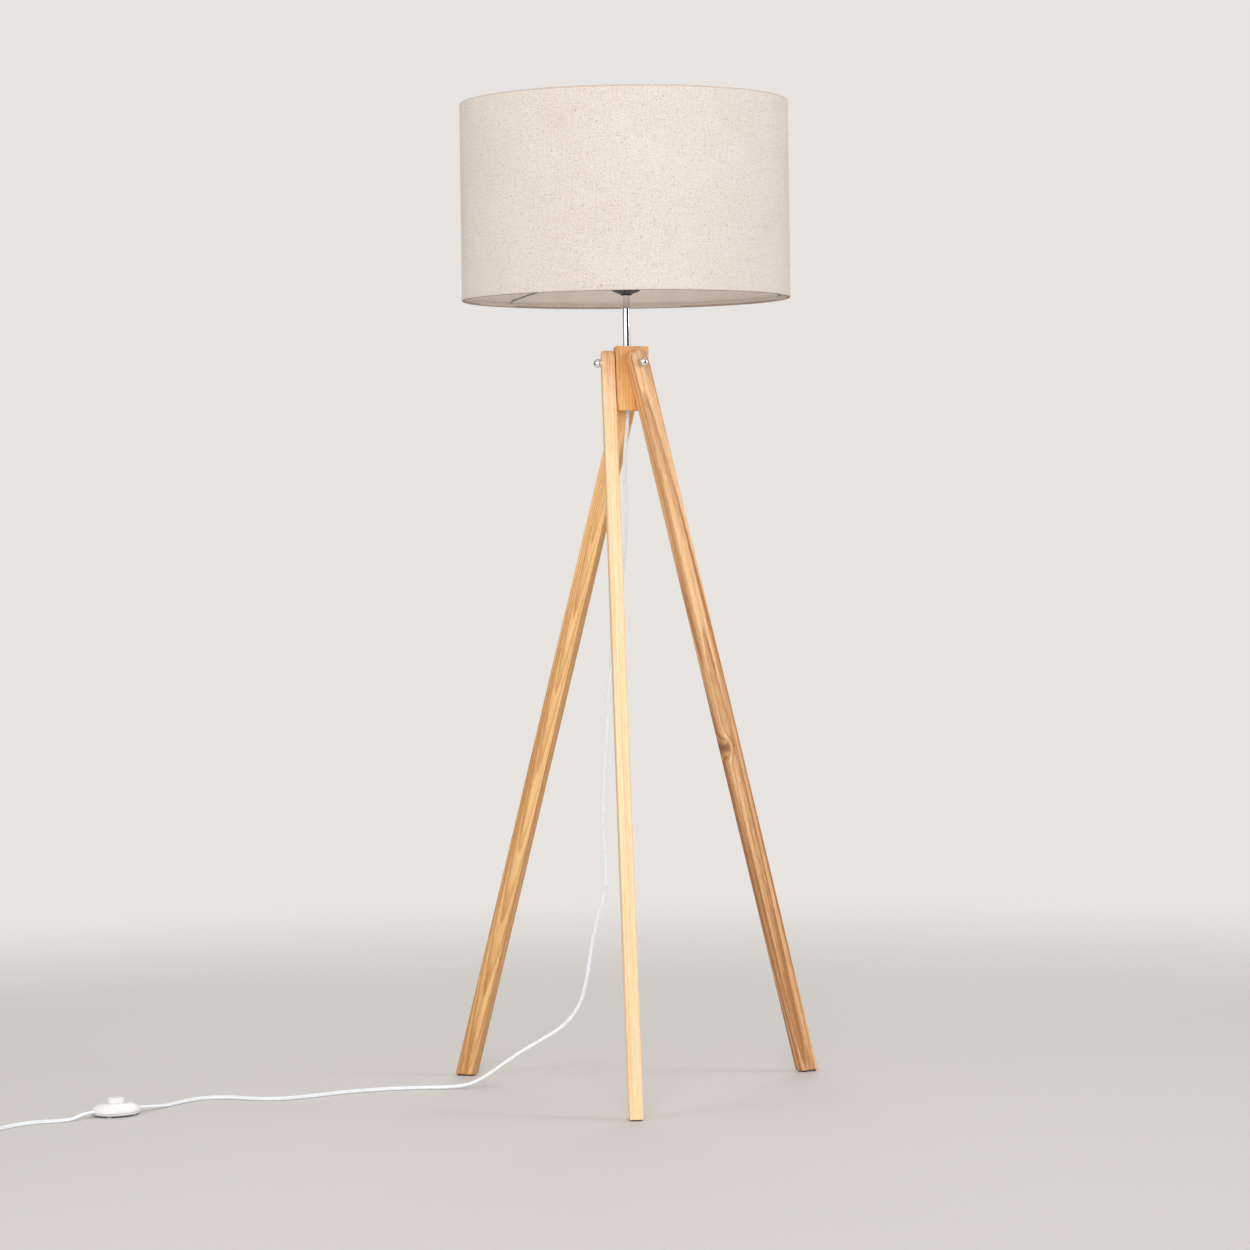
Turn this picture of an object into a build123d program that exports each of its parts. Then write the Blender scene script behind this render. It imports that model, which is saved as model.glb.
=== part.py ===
from build123d import *
import os
from math import atan2, cos, degrees, pi, radians, sin, sqrt, tan

os.makedirs("parts", exist_ok=True)

# Tripod floor lamp. Origin on the floor under the stem, +Z up, millimetres.
# The front leg's foot points along -Y.

# ---- Driving dimensions ----
# Legs: flat bars, one against each face of the head block, turning on a stud
pivot_height = 993.5
leg_splay = 15.5  # degrees from upright
leg_width = 26.0
leg_thickness = 18.0
leg_top = 16.5  # bar above the pivot
leg_top_round = 10.0
leg_edge_round = 1.6
pad_thickness = 2.0
pad_inset = 2.2
pad_corner_round = 1.5

# Head block: three-sided prism
block_height = 88.0
block_above_pivot = 22.5
block_inradius = 16.5
block_corner_round = 3.2
block_edge_round = 1.0

# Pivot hardware
stud_radius = 2.5
insert_radius = 3.5
insert_length = 9.0
stud_end_gap = 0.5  # between the stud's end and the insert's
stud_tip_gap = 1.0  # between the stud's tip and the nut's blind end
stud_chamfer = 0.4
washer_radius = 9.5
washer_thickness = 0.8
ball_radius = 6.2
ball_height = 9.6
neck_radius = 4.2
neck_length = 1.0
neck_in_ball = 1.0
nut_thread_depth = 7.0

# Stem
stem_length = 70.0  # between the block and the lampholder
stem_in_cap = 10.0
stem_radius = 5.0
stem_wall = 1.0
nipple_wall = 1.0
nipple_engagement = 14.0
recess_radius = 9.5
recess_depth = 9.0
hex_wall = 2.0
hex_thickness = 3.0
plate_washer_thickness = 1.0
bush_height = 4.0
bush_chamfer = 0.6

# Lampholder
cap_neck_wall = 2.5
cap_neck_height = 1.2
cap_dome_height = 6.0
cap_height = 22.0
cap_wall = 1.0
cap_dome_round = 3.0
cap_neck_web = 2.0  # the dome's thickness beside its neck
grub_below_top = 3.5
grub_radius = 1.45
grub_length = 4.0
shoulder_height = 42.0  # above the holder's bottom
shoulder_thickness = 2.0
shoulder_width = 2.5
sleeve_radius = 19.5
sleeve_wall = 1.4
sleeve_above_shoulder = 20.0
thread_pitch = 2.5
thread_depth = 0.6
shell_bore_radius = 13.6
shell_wall = 0.4
shell_height = 25.0
socket_floor = 26.0  # floor of the bulb's socket, above the holder's bottom
insert_base = 8.0  # insert below the socket's floor
insert_lip = 1.0  # insert above the thread shell
shell_gap = 1.0  # under the thread shell
contact_length = 16.0
contact_width = 6.0
contact_height = 1.6
terminal_offset = 10.0
terminal_radius = 2.4
terminal_height = 3.0

# Bulb
bulb_cap_height = 22.0
bulb_tip_radius = 4.8
bulb_tip_rim = 9.5
bulb_tip_height = 3.0
bulb_thread_depth = 0.8
bulb_thread_pitch = 3.6
bulb_neck_radius = 14.5
bulb_neck_height = 4.0
bulb_shoulder = 0.8  # share of the seam's radius, half way up the housing
bulb_shoulder_rise = 3.0
bulb_radius = 30.0
bulb_seam_radius = 27.9  # where the globe meets the housing
bulb_height = 112.0
globe_wall = 1.2
board_gap = 4.0
board_thickness = 1.2

# Shade
shade_radius = 225.0
shade_height = 270.0
hub_above_rim = 48.0  # hub above the shade's bottom rim
cloth_thickness = 0.5
liner_thickness = 0.5
ring_wire_radius = 1.5
ring_gap = 0.2  # between ring wire and liner
trim_thickness = 0.6
trim_outside = 3.0
trim_inside = 5.0
arm_wire_radius = 1.35
arm_stub = 7.0
arm_bend = 5.0
arm_first_angle = 17.0
arm_count = 3
hub_width = 6.6
hub_thickness = 1.2
arm_past_shoulder = 2.4  # the arm's end, outwards from the lampholder's shoulder
arm_below_hub = 0.7  # the arm's middle line under the hub
collar_wall = 4.0
collar_flange_width = 3.0
collar_height = 9.0
collar_flange_height = 2.5
collar_rib_count = 24
collar_rib_radius = 0.8

# Clearances
turning_fit = 0.05
loose_fit = 0.3
insert_gap = 0.7  # lampholder insert in its sleeve
hub_gap = 0.9  # shade hub round the sleeve

# Cord: flat two-core flex, made here as a round tube of its width
cord_width = 5.2
flex_thickness = 3.2
arc_share = 0.45  # of the shorter run that each of the cord's arcs takes up

# Foot switch
switch_x = -688.0
switch_y = -184.0
switch_turn = 214.8  # direction of its outgoing cord, degrees from +X
switch_length = 66.0
switch_width = 57.0
switch_parting = 7.0
switch_top = 16.5
switch_dome_round = 8.6
switch_base_round = 2.4
switch_wall = 1.8
switch_foot_height = 1.5
button_radius = 11.0
button_top = 23.6
button_flange = 1.6
button_flange_thickness = 1.4
button_wall = 1.4
button_edge_round = 1.0
button_under_cover = 0.2
mechanism_length = 22.0
mechanism_width = 14.0
mechanism_round = 1.5
plunger_radius = 2.6
plunger_height = 3.5
spring_radius = 4.2
spring_wire = 0.45
spring_turns = 5
switch_block_height = 5.0
clamp_height = 2.2
clamp_length = 5.0
clamp_width = 13.0
clamp_round = 1.0
clamp_past_cord = 0.5
cord_end_inset = 6.0  # the cord's ends, in from the switch's outline
cord_way_reach = 28.0  # how far the cord's holes reach past the middle of the switch's half
foot_radius = 3.6
foot_spacing_x = 34.3
foot_spacing_y = 28.5
switch_screw_offset = 19.4
screw_radius = 1.3
screw_length = 6.0
screw_head_radius = 2.6
screw_head_height = 0.6
post_radius = 3.0

# Coil of put-away cord, and the plug beside it
coil_x = -875.0
coil_y = -322.0
coil_inner = 24.2  # middle of the inner turns
coil_layers = 2
coil_rings = 2
plug_width = 35.0
plug_thickness = 13.6
plug_length = 35.0
plug_waist = 17.0
plug_round = 3.0
plug_edge_round = 1.6
plug_shoulder = 0.62  # share of the body's length where it reaches its full width
relief_length = 30.0
relief_end_radius = 4.0
relief_start_radius = 5.6
relief_rib_count = 6
relief_rib_height = 0.6
relief_rib_width = 2.4
relief_bore = 4.0  # how far the cord goes into the relief
relief_from_coil = 37.0
pin_radius = 2.0
pin_spacing = 19.0
pin_length = 19.0
pin_in_body = 8.0
pin_tip_round = 1.2
pin_sleeve_length = 10.0
pin_core_radius = 1.3

# ---- Derived places ----
block_top = pivot_height + block_above_pivot
block_bottom = block_top - block_height
leg_inner = block_inradius + washer_thickness
leg_outer = leg_inner + leg_thickness
leg_middle = leg_inner + leg_thickness / 2
leg_reach = pivot_height * tan(radians(leg_splay))
front_angle = -90.0 + degrees(atan2(leg_middle, leg_reach))
leg_angles = {"front": front_angle, "right": front_angle + 120, "left": front_angle + 240}
nipple_radius = stem_radius - stem_wall
holder_bottom = block_top + stem_length
stem_top = holder_bottom + stem_in_cap
shoulder_z = holder_bottom + shoulder_height
shade_bottom = shoulder_z - hub_above_rim
cap_radius = sleeve_radius
cap_neck_radius = stem_radius + cap_neck_wall
shoulder_radius = sleeve_radius + shoulder_width
insert_body_radius = sleeve_radius - sleeve_wall - insert_gap
bulb_cap_radius = shell_bore_radius - loose_fit
hub_hole_radius = sleeve_radius + hub_gap
hub_radius = hub_hole_radius + hub_width
collar_body_radius = sleeve_radius + collar_wall
collar_radius = collar_body_radius + collar_flange_width
hub_top = shoulder_z + hub_thickness
sleeve_top = shoulder_z + sleeve_above_shoulder
socket_z = holder_bottom + socket_floor
shade_top = shade_bottom + shade_height
wall_inner = shade_radius - cloth_thickness - liner_thickness
ring_radius = wall_inner - ring_gap - ring_wire_radius
bottom_ring_z = shade_bottom + trim_thickness + ring_wire_radius
top_ring_z = shade_top - trim_thickness - ring_wire_radius
floor_z = cord_width / 2  # middle of a cord that lies on the floor


def face_plane(angle, distance, height):
    """Plane on a block face: x along the leg's swing, y up, z out of the face."""
    normal = Vector(sin(radians(angle)), -cos(radians(angle)), 0)
    along = Vector(cos(radians(angle)), sin(radians(angle)), 0)
    return Plane(origin=normal * distance + Vector(0, 0, height), x_dir=along, z_dir=normal)


def finish(piece, name):
    piece.label = name
    export_step(piece, "parts/" + name + ".step")


def turned(profile):
    """Solid of revolution about +Z from (radius, height) points."""
    with BuildPart() as body:
        with BuildSketch(Plane.XZ):
            with BuildLine():
                Polyline(*profile, close=True)
            make_face()
        revolve(axis=Axis.Z)
    return body.part


def ridges(radius, depth, low, high, pitch):
    """Points of a thread's outline from low to high: crest, root, crest."""
    count = int((high - low) / pitch)
    points = []
    for turn in range(count):
        start = low + turn * pitch
        points.append((radius, start))
        points.append((radius, start + pitch * 0.35))
        points.append((radius - depth, start + pitch * 0.6))
        points.append((radius - depth, start + pitch * 0.8))
    points.append((radius, low + count * pitch))
    return points


# ---- Head block ----
with BuildPart() as head_block:
    with BuildSketch(Plane.XY.offset(block_bottom)):
        RegularPolygon(radius=2 * block_inradius, side_count=3, rotation=front_angle + 90)
        fillet(vertices(), radius=block_corner_round)
    extrude(amount=block_height)
    rims = edges().group_by(Axis.Z)[0] + edges().group_by(Axis.Z)[-1]
    fillet(rims, radius=block_edge_round)
    with Locations(Plane(origin=(0, 0, block_bottom), z_dir=(0, 0, -1))):
        CounterBoreHole(
            radius=nipple_radius + turning_fit,
            counter_bore_radius=recess_radius,
            counter_bore_depth=recess_depth,
            depth=block_height,
        )
    with Locations(*[face_plane(a, block_inradius, pivot_height) for a in leg_angles.values()]):
        Hole(radius=insert_radius, depth=insert_length)
finish(head_block.part, "head_block")

# Brass inserts in the block, one behind each leg
with BuildPart() as leg_inserts:
    insert_start = block_inradius - insert_length
    with BuildSketch(*[face_plane(a, insert_start, pivot_height) for a in leg_angles.values()]):
        Circle(insert_radius)
        Circle(stud_radius, mode=Mode.SUBTRACT)
    extrude(amount=insert_length - washer_thickness / 2)
finish(leg_inserts.part, "leg_inserts")

# Studs that the legs turn on
stud_start = block_inradius - insert_length + stud_end_gap
stud_end = leg_outer + neck_length + nut_thread_depth - stud_tip_gap
with BuildPart() as leg_studs:
    with BuildSketch(*[face_plane(a, stud_start, pivot_height) for a in leg_angles.values()]):
        Circle(stud_radius)
    extrude(amount=stud_end - stud_start)
    chamfer(edges().group_by(SortBy.DISTANCE)[-1], length=stud_chamfer)
finish(leg_studs.part, "leg_studs")

# Friction washers between the block and the legs
with BuildPart() as pivot_washers:
    with BuildSketch(*[face_plane(a, block_inradius, pivot_height) for a in leg_angles.values()]):
        Circle(washer_radius)
        Circle(stud_radius, mode=Mode.SUBTRACT)
    extrude(amount=washer_thickness)
finish(pivot_washers.part, "pivot_washers")


def make_leg(angle):
    """Flat bar that leans out by the splay, rounded at its top and level at its foot."""
    lean = radians(leg_splay)
    down = Vector(sin(lean), -cos(lean))
    across = Vector(cos(lean), sin(lean)) * (leg_width / 2)
    drop = pivot_height - pad_thickness
    side = leg_width / 2 * sin(lean)
    left_foot = down * ((drop - side) / cos(lean)) - across
    right_foot = down * ((drop + side) / cos(lean)) + across
    left_top = down * -leg_top - across
    right_top = down * -leg_top + across
    with BuildPart() as leg:
        with BuildSketch(face_plane(angle, leg_inner, pivot_height)):
            with BuildLine():
                Polyline(left_foot, left_top, right_top, right_foot, close=True)
            make_face()
            fillet(vertices().group_by(Axis.Y)[-2:], radius=leg_top_round)
        extrude(amount=leg_thickness)
        normal = Vector(sin(radians(angle)), -cos(radians(angle)), 0)
        broad_faces = [f for f in faces() if abs(f.normal_at().dot(normal)) > 0.99]
        rims = [e for f in broad_faces for e in f.edges()]
        fillet(rims, radius=leg_edge_round)
        with Locations(face_plane(angle, leg_outer, pivot_height)):
            Hole(radius=stud_radius + turning_fit, depth=leg_thickness)
    return leg.part


def make_pad(angle):
    """Thin pad under a foot, a little inside the bar's edges."""
    foot = face_plane(angle, leg_middle, 0)
    centre = foot.origin + foot.x_dir * leg_reach
    level = Plane(origin=centre, x_dir=foot.x_dir, z_dir=(0, 0, 1))
    with BuildPart() as pad:
        with BuildSketch(level):
            RectangleRounded(
                leg_width / cos(radians(leg_splay)) - 2 * pad_inset,
                leg_thickness - 2 * pad_inset,
                radius=pad_corner_round,
            )
        extrude(amount=pad_thickness)
    return pad.part


# Ball nut: a truncated ball on a short neck, with a blind threaded hole
with BuildPart() as ball:
    with BuildSketch(Plane.XZ):
        with Locations((0, neck_length + ball_height - ball_radius)):
            Circle(ball_radius)
        Rectangle(2 * ball_radius, neck_length + ball_height, align=(Align.MIN, Align.MIN), mode=Mode.INTERSECT)
        with Locations((0, neck_length)):
            Rectangle(2 * ball_radius, ball_height, align=(Align.MIN, Align.MIN), mode=Mode.INTERSECT)
        Rectangle(neck_radius, neck_length + neck_in_ball, align=(Align.MIN, Align.MIN))
    revolve(axis=Axis.Z)
    with Locations(Plane(origin=(0, 0, 0), z_dir=(0, 0, -1))):
        Hole(radius=stud_radius + turning_fit, depth=neck_length + nut_thread_depth)

for leg_name, leg_angle in leg_angles.items():
    finish(make_leg(leg_angle), "leg_" + leg_name)
    finish(make_pad(leg_angle), "foot_pad_" + leg_name)
    finish(ball.part.moved(face_plane(leg_angle, leg_outer, pivot_height).location), "ball_nut_" + leg_name)

# ---- Stem ----
recess_top = block_bottom + recess_depth
with BuildPart() as stem_nipple:
    with BuildSketch(Plane.XY.offset(block_bottom + bush_height)):
        Circle(nipple_radius)
        Circle(nipple_radius - nipple_wall, mode=Mode.SUBTRACT)
    extrude(amount=block_height - bush_height + nipple_engagement)
finish(stem_nipple.part, "stem_nipple")

with BuildPart() as stem_washer:
    with BuildSketch(Plane.XY.offset(recess_top - plate_washer_thickness)):
        Circle(recess_radius - loose_fit)
        Circle(nipple_radius, mode=Mode.SUBTRACT)
    extrude(amount=plate_washer_thickness)
finish(stem_washer.part, "stem_washer")

with BuildPart() as stem_nut:
    with BuildSketch(Plane.XY.offset(recess_top - plate_washer_thickness - hex_thickness)):
        RegularPolygon(radius=nipple_radius + hex_wall, side_count=6, major_radius=False)
        Circle(nipple_radius, mode=Mode.SUBTRACT)
    extrude(amount=hex_thickness)
finish(stem_nut.part, "stem_nut")

# Bush that fills the recess's mouth and guards the cord
with BuildPart() as cord_bush:
    with BuildSketch(Plane.XY.offset(block_bottom)):
        Circle(recess_radius - loose_fit)
    extrude(amount=bush_height)
    chamfer(edges().group_by(Axis.Z)[0], length=bush_chamfer)
    with BuildSketch(Plane.XY.offset(block_bottom)):
        Circle(cord_width / 2)
    extrude(amount=bush_height, mode=Mode.SUBTRACT)
finish(cord_bush.part, "cord_bush")

with BuildPart() as stem_tube:
    with BuildSketch(Plane.XY.offset(block_top)):
        Circle(stem_radius)
        Circle(nipple_radius, mode=Mode.SUBTRACT)
    extrude(amount=stem_top - block_top)
finish(stem_tube.part, "stem_tube")

# Flat flex inside the stem, from the bush to the terminals
insert_bottom = socket_z - insert_base
with BuildPart() as flex_inner:
    with BuildSketch(Plane.XY.offset(block_bottom + bush_height)):
        SlotOverall(cord_width, flex_thickness)
    extrude(amount=insert_bottom - block_bottom - bush_height)
finish(flex_inner.part, "flex_inner")

# ---- Lampholder ----
cap_top = holder_bottom + cap_height
cone_z = holder_bottom + cap_neck_height
cone_top = holder_bottom + cap_dome_height
grub_z = stem_top - grub_below_top
with BuildPart() as holder_cap:
    with BuildSketch(Plane.XZ):
        with BuildLine():
            Polyline(
                (stem_radius, holder_bottom),
                (cap_neck_radius, holder_bottom),
                (cap_neck_radius, cone_z),
                (cap_radius, cone_top),
                (cap_radius, cap_top),
                (cap_radius - cap_wall, cap_top),
                (cap_radius - cap_wall, cone_top + cap_wall),
                (cap_neck_radius, cone_z + cap_neck_web),
                (cap_neck_radius, stem_top),
                (stem_radius, stem_top),
                close=True,
            )
        make_face()
        fillet(vertices().sort_by_distance((cap_radius, cone_top))[0], radius=cap_dome_round)
    revolve(axis=Axis.Z)
    with Locations(Plane(origin=(cap_neck_radius, 0, grub_z), z_dir=(1, 0, 0))):
        Hole(radius=grub_radius + turning_fit, depth=cap_neck_radius)
finish(holder_cap.part, "holder_cap")

# Grub screw that locks the cap on the stem
with BuildPart() as holder_grub_screw:
    with BuildSketch(Plane(origin=(stem_radius, 0, grub_z), z_dir=(1, 0, 0))):
        Circle(grub_radius)
    extrude(amount=grub_length)
finish(holder_grub_screw.part, "holder_grub_screw")

sleeve_inner = sleeve_radius - sleeve_wall
sleeve_profile = [
    (sleeve_inner, cap_top),
    (sleeve_radius, cap_top),
    (sleeve_radius, shoulder_z - shoulder_thickness),
    (shoulder_radius, shoulder_z - shoulder_thickness),
    (shoulder_radius, shoulder_z),
]
sleeve_profile += ridges(sleeve_radius, thread_depth, shoulder_z, sleeve_top, thread_pitch)
sleeve_profile += [(sleeve_inner, sleeve_top)]
finish(turned(sleeve_profile), "holder_sleeve")

insert_top = socket_z + shell_height + insert_lip
shell_outer = shell_bore_radius + shell_wall
finish(
    turned(
        [
            (0, insert_bottom),
            (insert_body_radius, insert_bottom),
            (insert_body_radius, insert_top),
            (shell_outer, insert_top),
            (shell_outer, socket_z),
            (0, socket_z),
        ]
    ),
    "holder_insert",
)
finish(
    turned(
        [
            (shell_bore_radius, socket_z + shell_gap),
            (shell_outer, socket_z + shell_gap),
            (shell_outer, socket_z + shell_height),
            (shell_bore_radius, socket_z + shell_height),
        ]
    ),
    "thread_shell",
)

with BuildPart() as centre_contact:
    with BuildSketch(Plane.XY.offset(socket_z)):
        SlotOverall(contact_length, contact_width)
    extrude(amount=contact_height)
finish(centre_contact.part, "centre_contact")

with BuildPart() as terminal_screws:
    with BuildSketch(Plane.XY.offset(insert_bottom - terminal_height)):
        with Locations((terminal_offset, 0), (-terminal_offset, 0)):
            Circle(terminal_radius)
    extrude(amount=terminal_height)
finish(terminal_screws.part, "terminal_screws")

# ---- Bulb ----
bulb_z = socket_z + contact_height
tip_top = bulb_z + bulb_tip_height
cap_end = tip_top + bulb_cap_height
globe_centre = bulb_z + bulb_height - bulb_radius
housing_end = globe_centre - sqrt(bulb_radius**2 - bulb_seam_radius**2)
neck_end = cap_end + bulb_neck_height
bulb_cap_profile = [(0, bulb_z), (bulb_tip_radius, bulb_z), (bulb_tip_rim, tip_top)]
bulb_cap_profile += ridges(bulb_cap_radius, bulb_thread_depth, tip_top, cap_end, bulb_thread_pitch)
bulb_cap_profile += [(bulb_cap_radius, cap_end), (0, cap_end)]
finish(turned(bulb_cap_profile), "bulb_cap")

with BuildPart() as bulb_housing:
    with BuildSketch(Plane.XZ):
        with BuildLine():
            Line((0, cap_end), (bulb_neck_radius, cap_end))
            Line((bulb_neck_radius, cap_end), (bulb_neck_radius, neck_end))
            Spline(
                (bulb_neck_radius, neck_end),
                (bulb_seam_radius * bulb_shoulder, (cap_end + housing_end) / 2 + bulb_shoulder_rise),
                (bulb_seam_radius, housing_end),
                tangents=[(0.15, 1.0), (0.3, 1.0)],
            )
            Line((bulb_seam_radius, housing_end), (0, housing_end))
            Line((0, housing_end), (0, cap_end))
        make_face()
    revolve(axis=Axis.Z)
finish(bulb_housing.part, "bulb_housing")

with BuildPart() as light_board:
    with BuildSketch(Plane.XY.offset(housing_end)):
        Circle(bulb_seam_radius - board_gap)
    extrude(amount=board_thickness)
finish(light_board.part, "light_board")

# Globe: a hollow ball cut off flat where it meets the housing
with BuildPart() as bulb_globe:
    with Locations((0, 0, globe_centre)):
        Sphere(bulb_radius)
        Sphere(bulb_radius - globe_wall, mode=Mode.SUBTRACT)
    split(bisect_by=Plane.XY.offset(housing_end), keep=Keep.TOP)
finish(bulb_globe.part, "bulb_globe")

# ---- Shade ----
wall_bottom = shade_bottom + trim_thickness
wall_top = shade_top - trim_thickness


def tube_wall(outer, inner, low, high):
    with BuildPart() as wall:
        with BuildSketch(Plane.XY.offset(low)):
            Circle(outer)
            Circle(inner, mode=Mode.SUBTRACT)
        extrude(amount=high - low)
    return wall.part


liner_outer = shade_radius - cloth_thickness
finish(tube_wall(shade_radius, liner_outer, wall_bottom, wall_top), "shade_cloth")
finish(tube_wall(liner_outer, wall_inner, wall_bottom, wall_top), "shade_liner")


def rolled_trim(rim, up):
    """Cloth folded round a rim and its ring wire: a thin channel open away from the rim."""
    trim_outer = shade_radius + trim_thickness
    channel_inner = ring_radius - ring_wire_radius - ring_gap
    trim_inner = channel_inner - trim_thickness
    floor = rim + up * trim_thickness
    return turned(
        [
            (trim_inner, rim),
            (trim_outer, rim),
            (trim_outer, rim + up * trim_outside),
            (shade_radius, rim + up * trim_outside),
            (shade_radius, floor),
            (channel_inner, floor),
            (channel_inner, rim + up * trim_inside),
            (trim_inner, rim + up * trim_inside),
        ]
    )


finish(rolled_trim(shade_bottom, 1), "trim_bottom")
finish(rolled_trim(shade_top, -1), "trim_top")

with BuildPart() as top_ring:
    with BuildSketch(Plane.XZ):
        with Locations((ring_radius, top_ring_z)):
            Circle(ring_wire_radius)
    revolve(axis=Axis.Z)
finish(top_ring.part, "top_ring")

# Welded carrier: bottom ring, flat hub, and three arms between them
with BuildPart() as carrier_ring:
    with BuildSketch(Plane.XZ):
        with Locations((ring_radius, bottom_ring_z)):
            Circle(ring_wire_radius)
    revolve(axis=Axis.Z)
finish(carrier_ring.part, "carrier_ring")

with BuildPart() as carrier_hub:
    with BuildSketch(Plane.XY.offset(shoulder_z)):
        Circle(hub_radius)
        Circle(hub_hole_radius, mode=Mode.SUBTRACT)
    extrude(amount=hub_thickness)
finish(carrier_hub.part, "carrier_hub")

with BuildPart() as carrier_arms:
    for arm in range(arm_count):
        azimuth = radians(arm_first_angle + arm * 360 / arm_count)
        outward = Vector(cos(azimuth), sin(azimuth), 0)
        ring_point = outward * ring_radius + Vector(0, 0, bottom_ring_z)
        with BuildLine() as arm_line:
            FilletPolyline(
                ring_point,
                ring_point + Vector(0, 0, arm_stub),
                outward * (shoulder_radius + arm_past_shoulder) + Vector(0, 0, shoulder_z - arm_below_hub),
                radius=arm_bend,
            )
        with BuildSketch(Plane(origin=ring_point)):
            Circle(arm_wire_radius)
        sweep(path=arm_line.wires()[0])
    # the arms end on the ring's surface and under the hub
    with BuildSketch(Plane.XZ):
        with Locations((ring_radius, bottom_ring_z)):
            Circle(ring_wire_radius)
    revolve(axis=Axis.Z, mode=Mode.SUBTRACT)
    with BuildSketch(Plane.XY.offset(shoulder_z)):
        Circle(hub_radius)
    extrude(amount=2 * arm_wire_radius, mode=Mode.SUBTRACT)
    with BuildSketch(Plane.XY.offset(shoulder_z - 2 * arm_wire_radius)):
        Circle(hub_hole_radius)
    extrude(amount=2 * arm_wire_radius, mode=Mode.SUBTRACT)
finish(carrier_arms.part, "carrier_arms")

# Collar that screws down on the hub
collar_hole = sleeve_radius + turning_fit
with BuildPart() as shade_collar:
    with BuildSketch(Plane.XY.offset(hub_top)):
        Circle(collar_radius)
    extrude(amount=collar_flange_height)
    with BuildSketch(Plane.XY.offset(hub_top + collar_flange_height)):
        Circle(collar_body_radius)
    extrude(amount=collar_height - collar_flange_height)
    with BuildSketch(Plane.XY.offset(hub_top + collar_flange_height)):
        with PolarLocations(collar_body_radius, collar_rib_count):
            Circle(collar_rib_radius)
    extrude(amount=collar_height - collar_flange_height)
    with BuildSketch(Plane.XY.offset(hub_top)):
        Circle(collar_hole)
    extrude(amount=collar_height, mode=Mode.SUBTRACT)
finish(shade_collar.part, "shade_collar")


# ---- Cord ----
def cord_tube(points, name):
    """Round tube along straight runs joined by arcs as large as the runs allow."""
    corners = [Vector(*point) for point in points]
    radii = []
    for before, corner, after in zip(corners, corners[1:], corners[2:]):
        shorter_run = min((corner - before).length, (after - corner).length)
        half_turn = radians((corner - before).get_angle(after - corner)) / 2
        radii.append(arc_share * shorter_run / tan(half_turn))
    with BuildPart() as tube:
        with BuildLine() as route:
            FilletPolyline(*corners, radius=radii)
        path = route.wires()[0]
        with BuildSketch(Plane(origin=corners[0], z_dir=corners[1] - corners[0])):
            Circle(cord_width / 2)
        sweep(path=path)
    expected = pi * (cord_width / 2) ** 2 * path.length
    print(name, "length", round(path.length), "radii", [round(r) for r in radii])
    print(name, "volume over section times length", round(tube.part.volume / expected, 4))
    finish(tube.part, name)


switch_plane = Plane(
    origin=(switch_x, switch_y, 0),
    x_dir=(cos(radians(switch_turn)), sin(radians(switch_turn)), 0),
    z_dir=(0, 0, 1),
)
cord_in_switch = switch_length / 2 - cord_end_inset


def at_switch(along, height):
    return switch_plane.from_local_coords(Vector(along, 0, height))


# From the bush straight down, out between the front and left legs, and over the floor
upper_route = [
    (0, 0, block_bottom + bush_height),
    (0, 0, block_bottom - 16.0),
    (-3.5, 1.5, 884),
    (-6, 4.5, 844),
    (-3, 9, 798),
    (-5, 13, 748),
    (-10, 17, 702),
    (-17, 19, 654),
    (-24.5, 20, 606),
    (-30, 21, 560),
    (-33, 21, 510),
    (-36, 22, 462),
    (-39.5, 23, 412),
    (-42, 24, 362),
    (-39.5, 25, 320),
    (-36.5, 24, 286),
    (-43, 23, 252),
    (-55, 22, 216),
    (-62, 21, 176),
    (-68, 19, 138),
    (-79, 17, 106),
    (-100, 14, 83),
    (-129, 12, 66),
    (-158, 10, 50),
    (-184, 8, 33),
    (-207, 6, 17),
    (-229, 6, 6),
    (-256, 8, floor_z),
    (-302, 9, floor_z),
    (-352, -2, floor_z),
    (-400, -24, floor_z),
    (-440, -55, floor_z),
    (-478, -78, floor_z),
    (-518, -74, floor_z),
    (-553, -55, floor_z),
    (-588, -60, floor_z),
    (-614, -93, floor_z),
    (-632, -128, floor_z),
    at_switch(-switch_length / 2 - 9.0, switch_parting),
    at_switch(-cord_in_switch, switch_parting),
]
cord_tube(upper_route, "cord_upper")

coil_outer = coil_inner + cord_width * (coil_rings - 1)
coil_top = cord_width * coil_layers
coil_edge = coil_outer + cord_width / 2
plug_axis_z = plug_thickness / 2
relief_start_y = coil_y + relief_from_coil

# From the switch to the coil's front
lower_route = [
    at_switch(cord_in_switch, switch_parting),
    at_switch(switch_length / 2 + 13.0, switch_parting),
    (-738, -232, floor_z),
    (-758, -246, floor_z),
    (-781, -250, floor_z),
    (-804, -271, floor_z),
    (-824, -303, floor_z),
    (-842, -338, floor_z),
    (-863, coil_y - coil_outer + 1.0, floor_z),
]
cord_tube(lower_route, "cord_lower")

# The coil's outer shape
with BuildPart() as cord_coil:
    with BuildSketch(Plane.XY):
        with Locations((coil_x, coil_y)):
            Circle(coil_edge)
            Circle(coil_inner - cord_width / 2, mode=Mode.SUBTRACT)
    extrude(amount=coil_top)
finish(cord_coil.part, "cord_coil")

# From the coil's left side to the plug
tail_x = coil_x - coil_outer
tail_route = [
    (tail_x, coil_y, coil_top - cord_width / 2),
    (tail_x - 0.5, coil_y + 13.0, coil_top - cord_width / 2),
    (tail_x, coil_y + 26.0, plug_axis_z),
    (tail_x, relief_start_y + relief_bore, plug_axis_z),
]
cord_tube(tail_route, "cord_tail")

# ---- Foot switch ----


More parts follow.
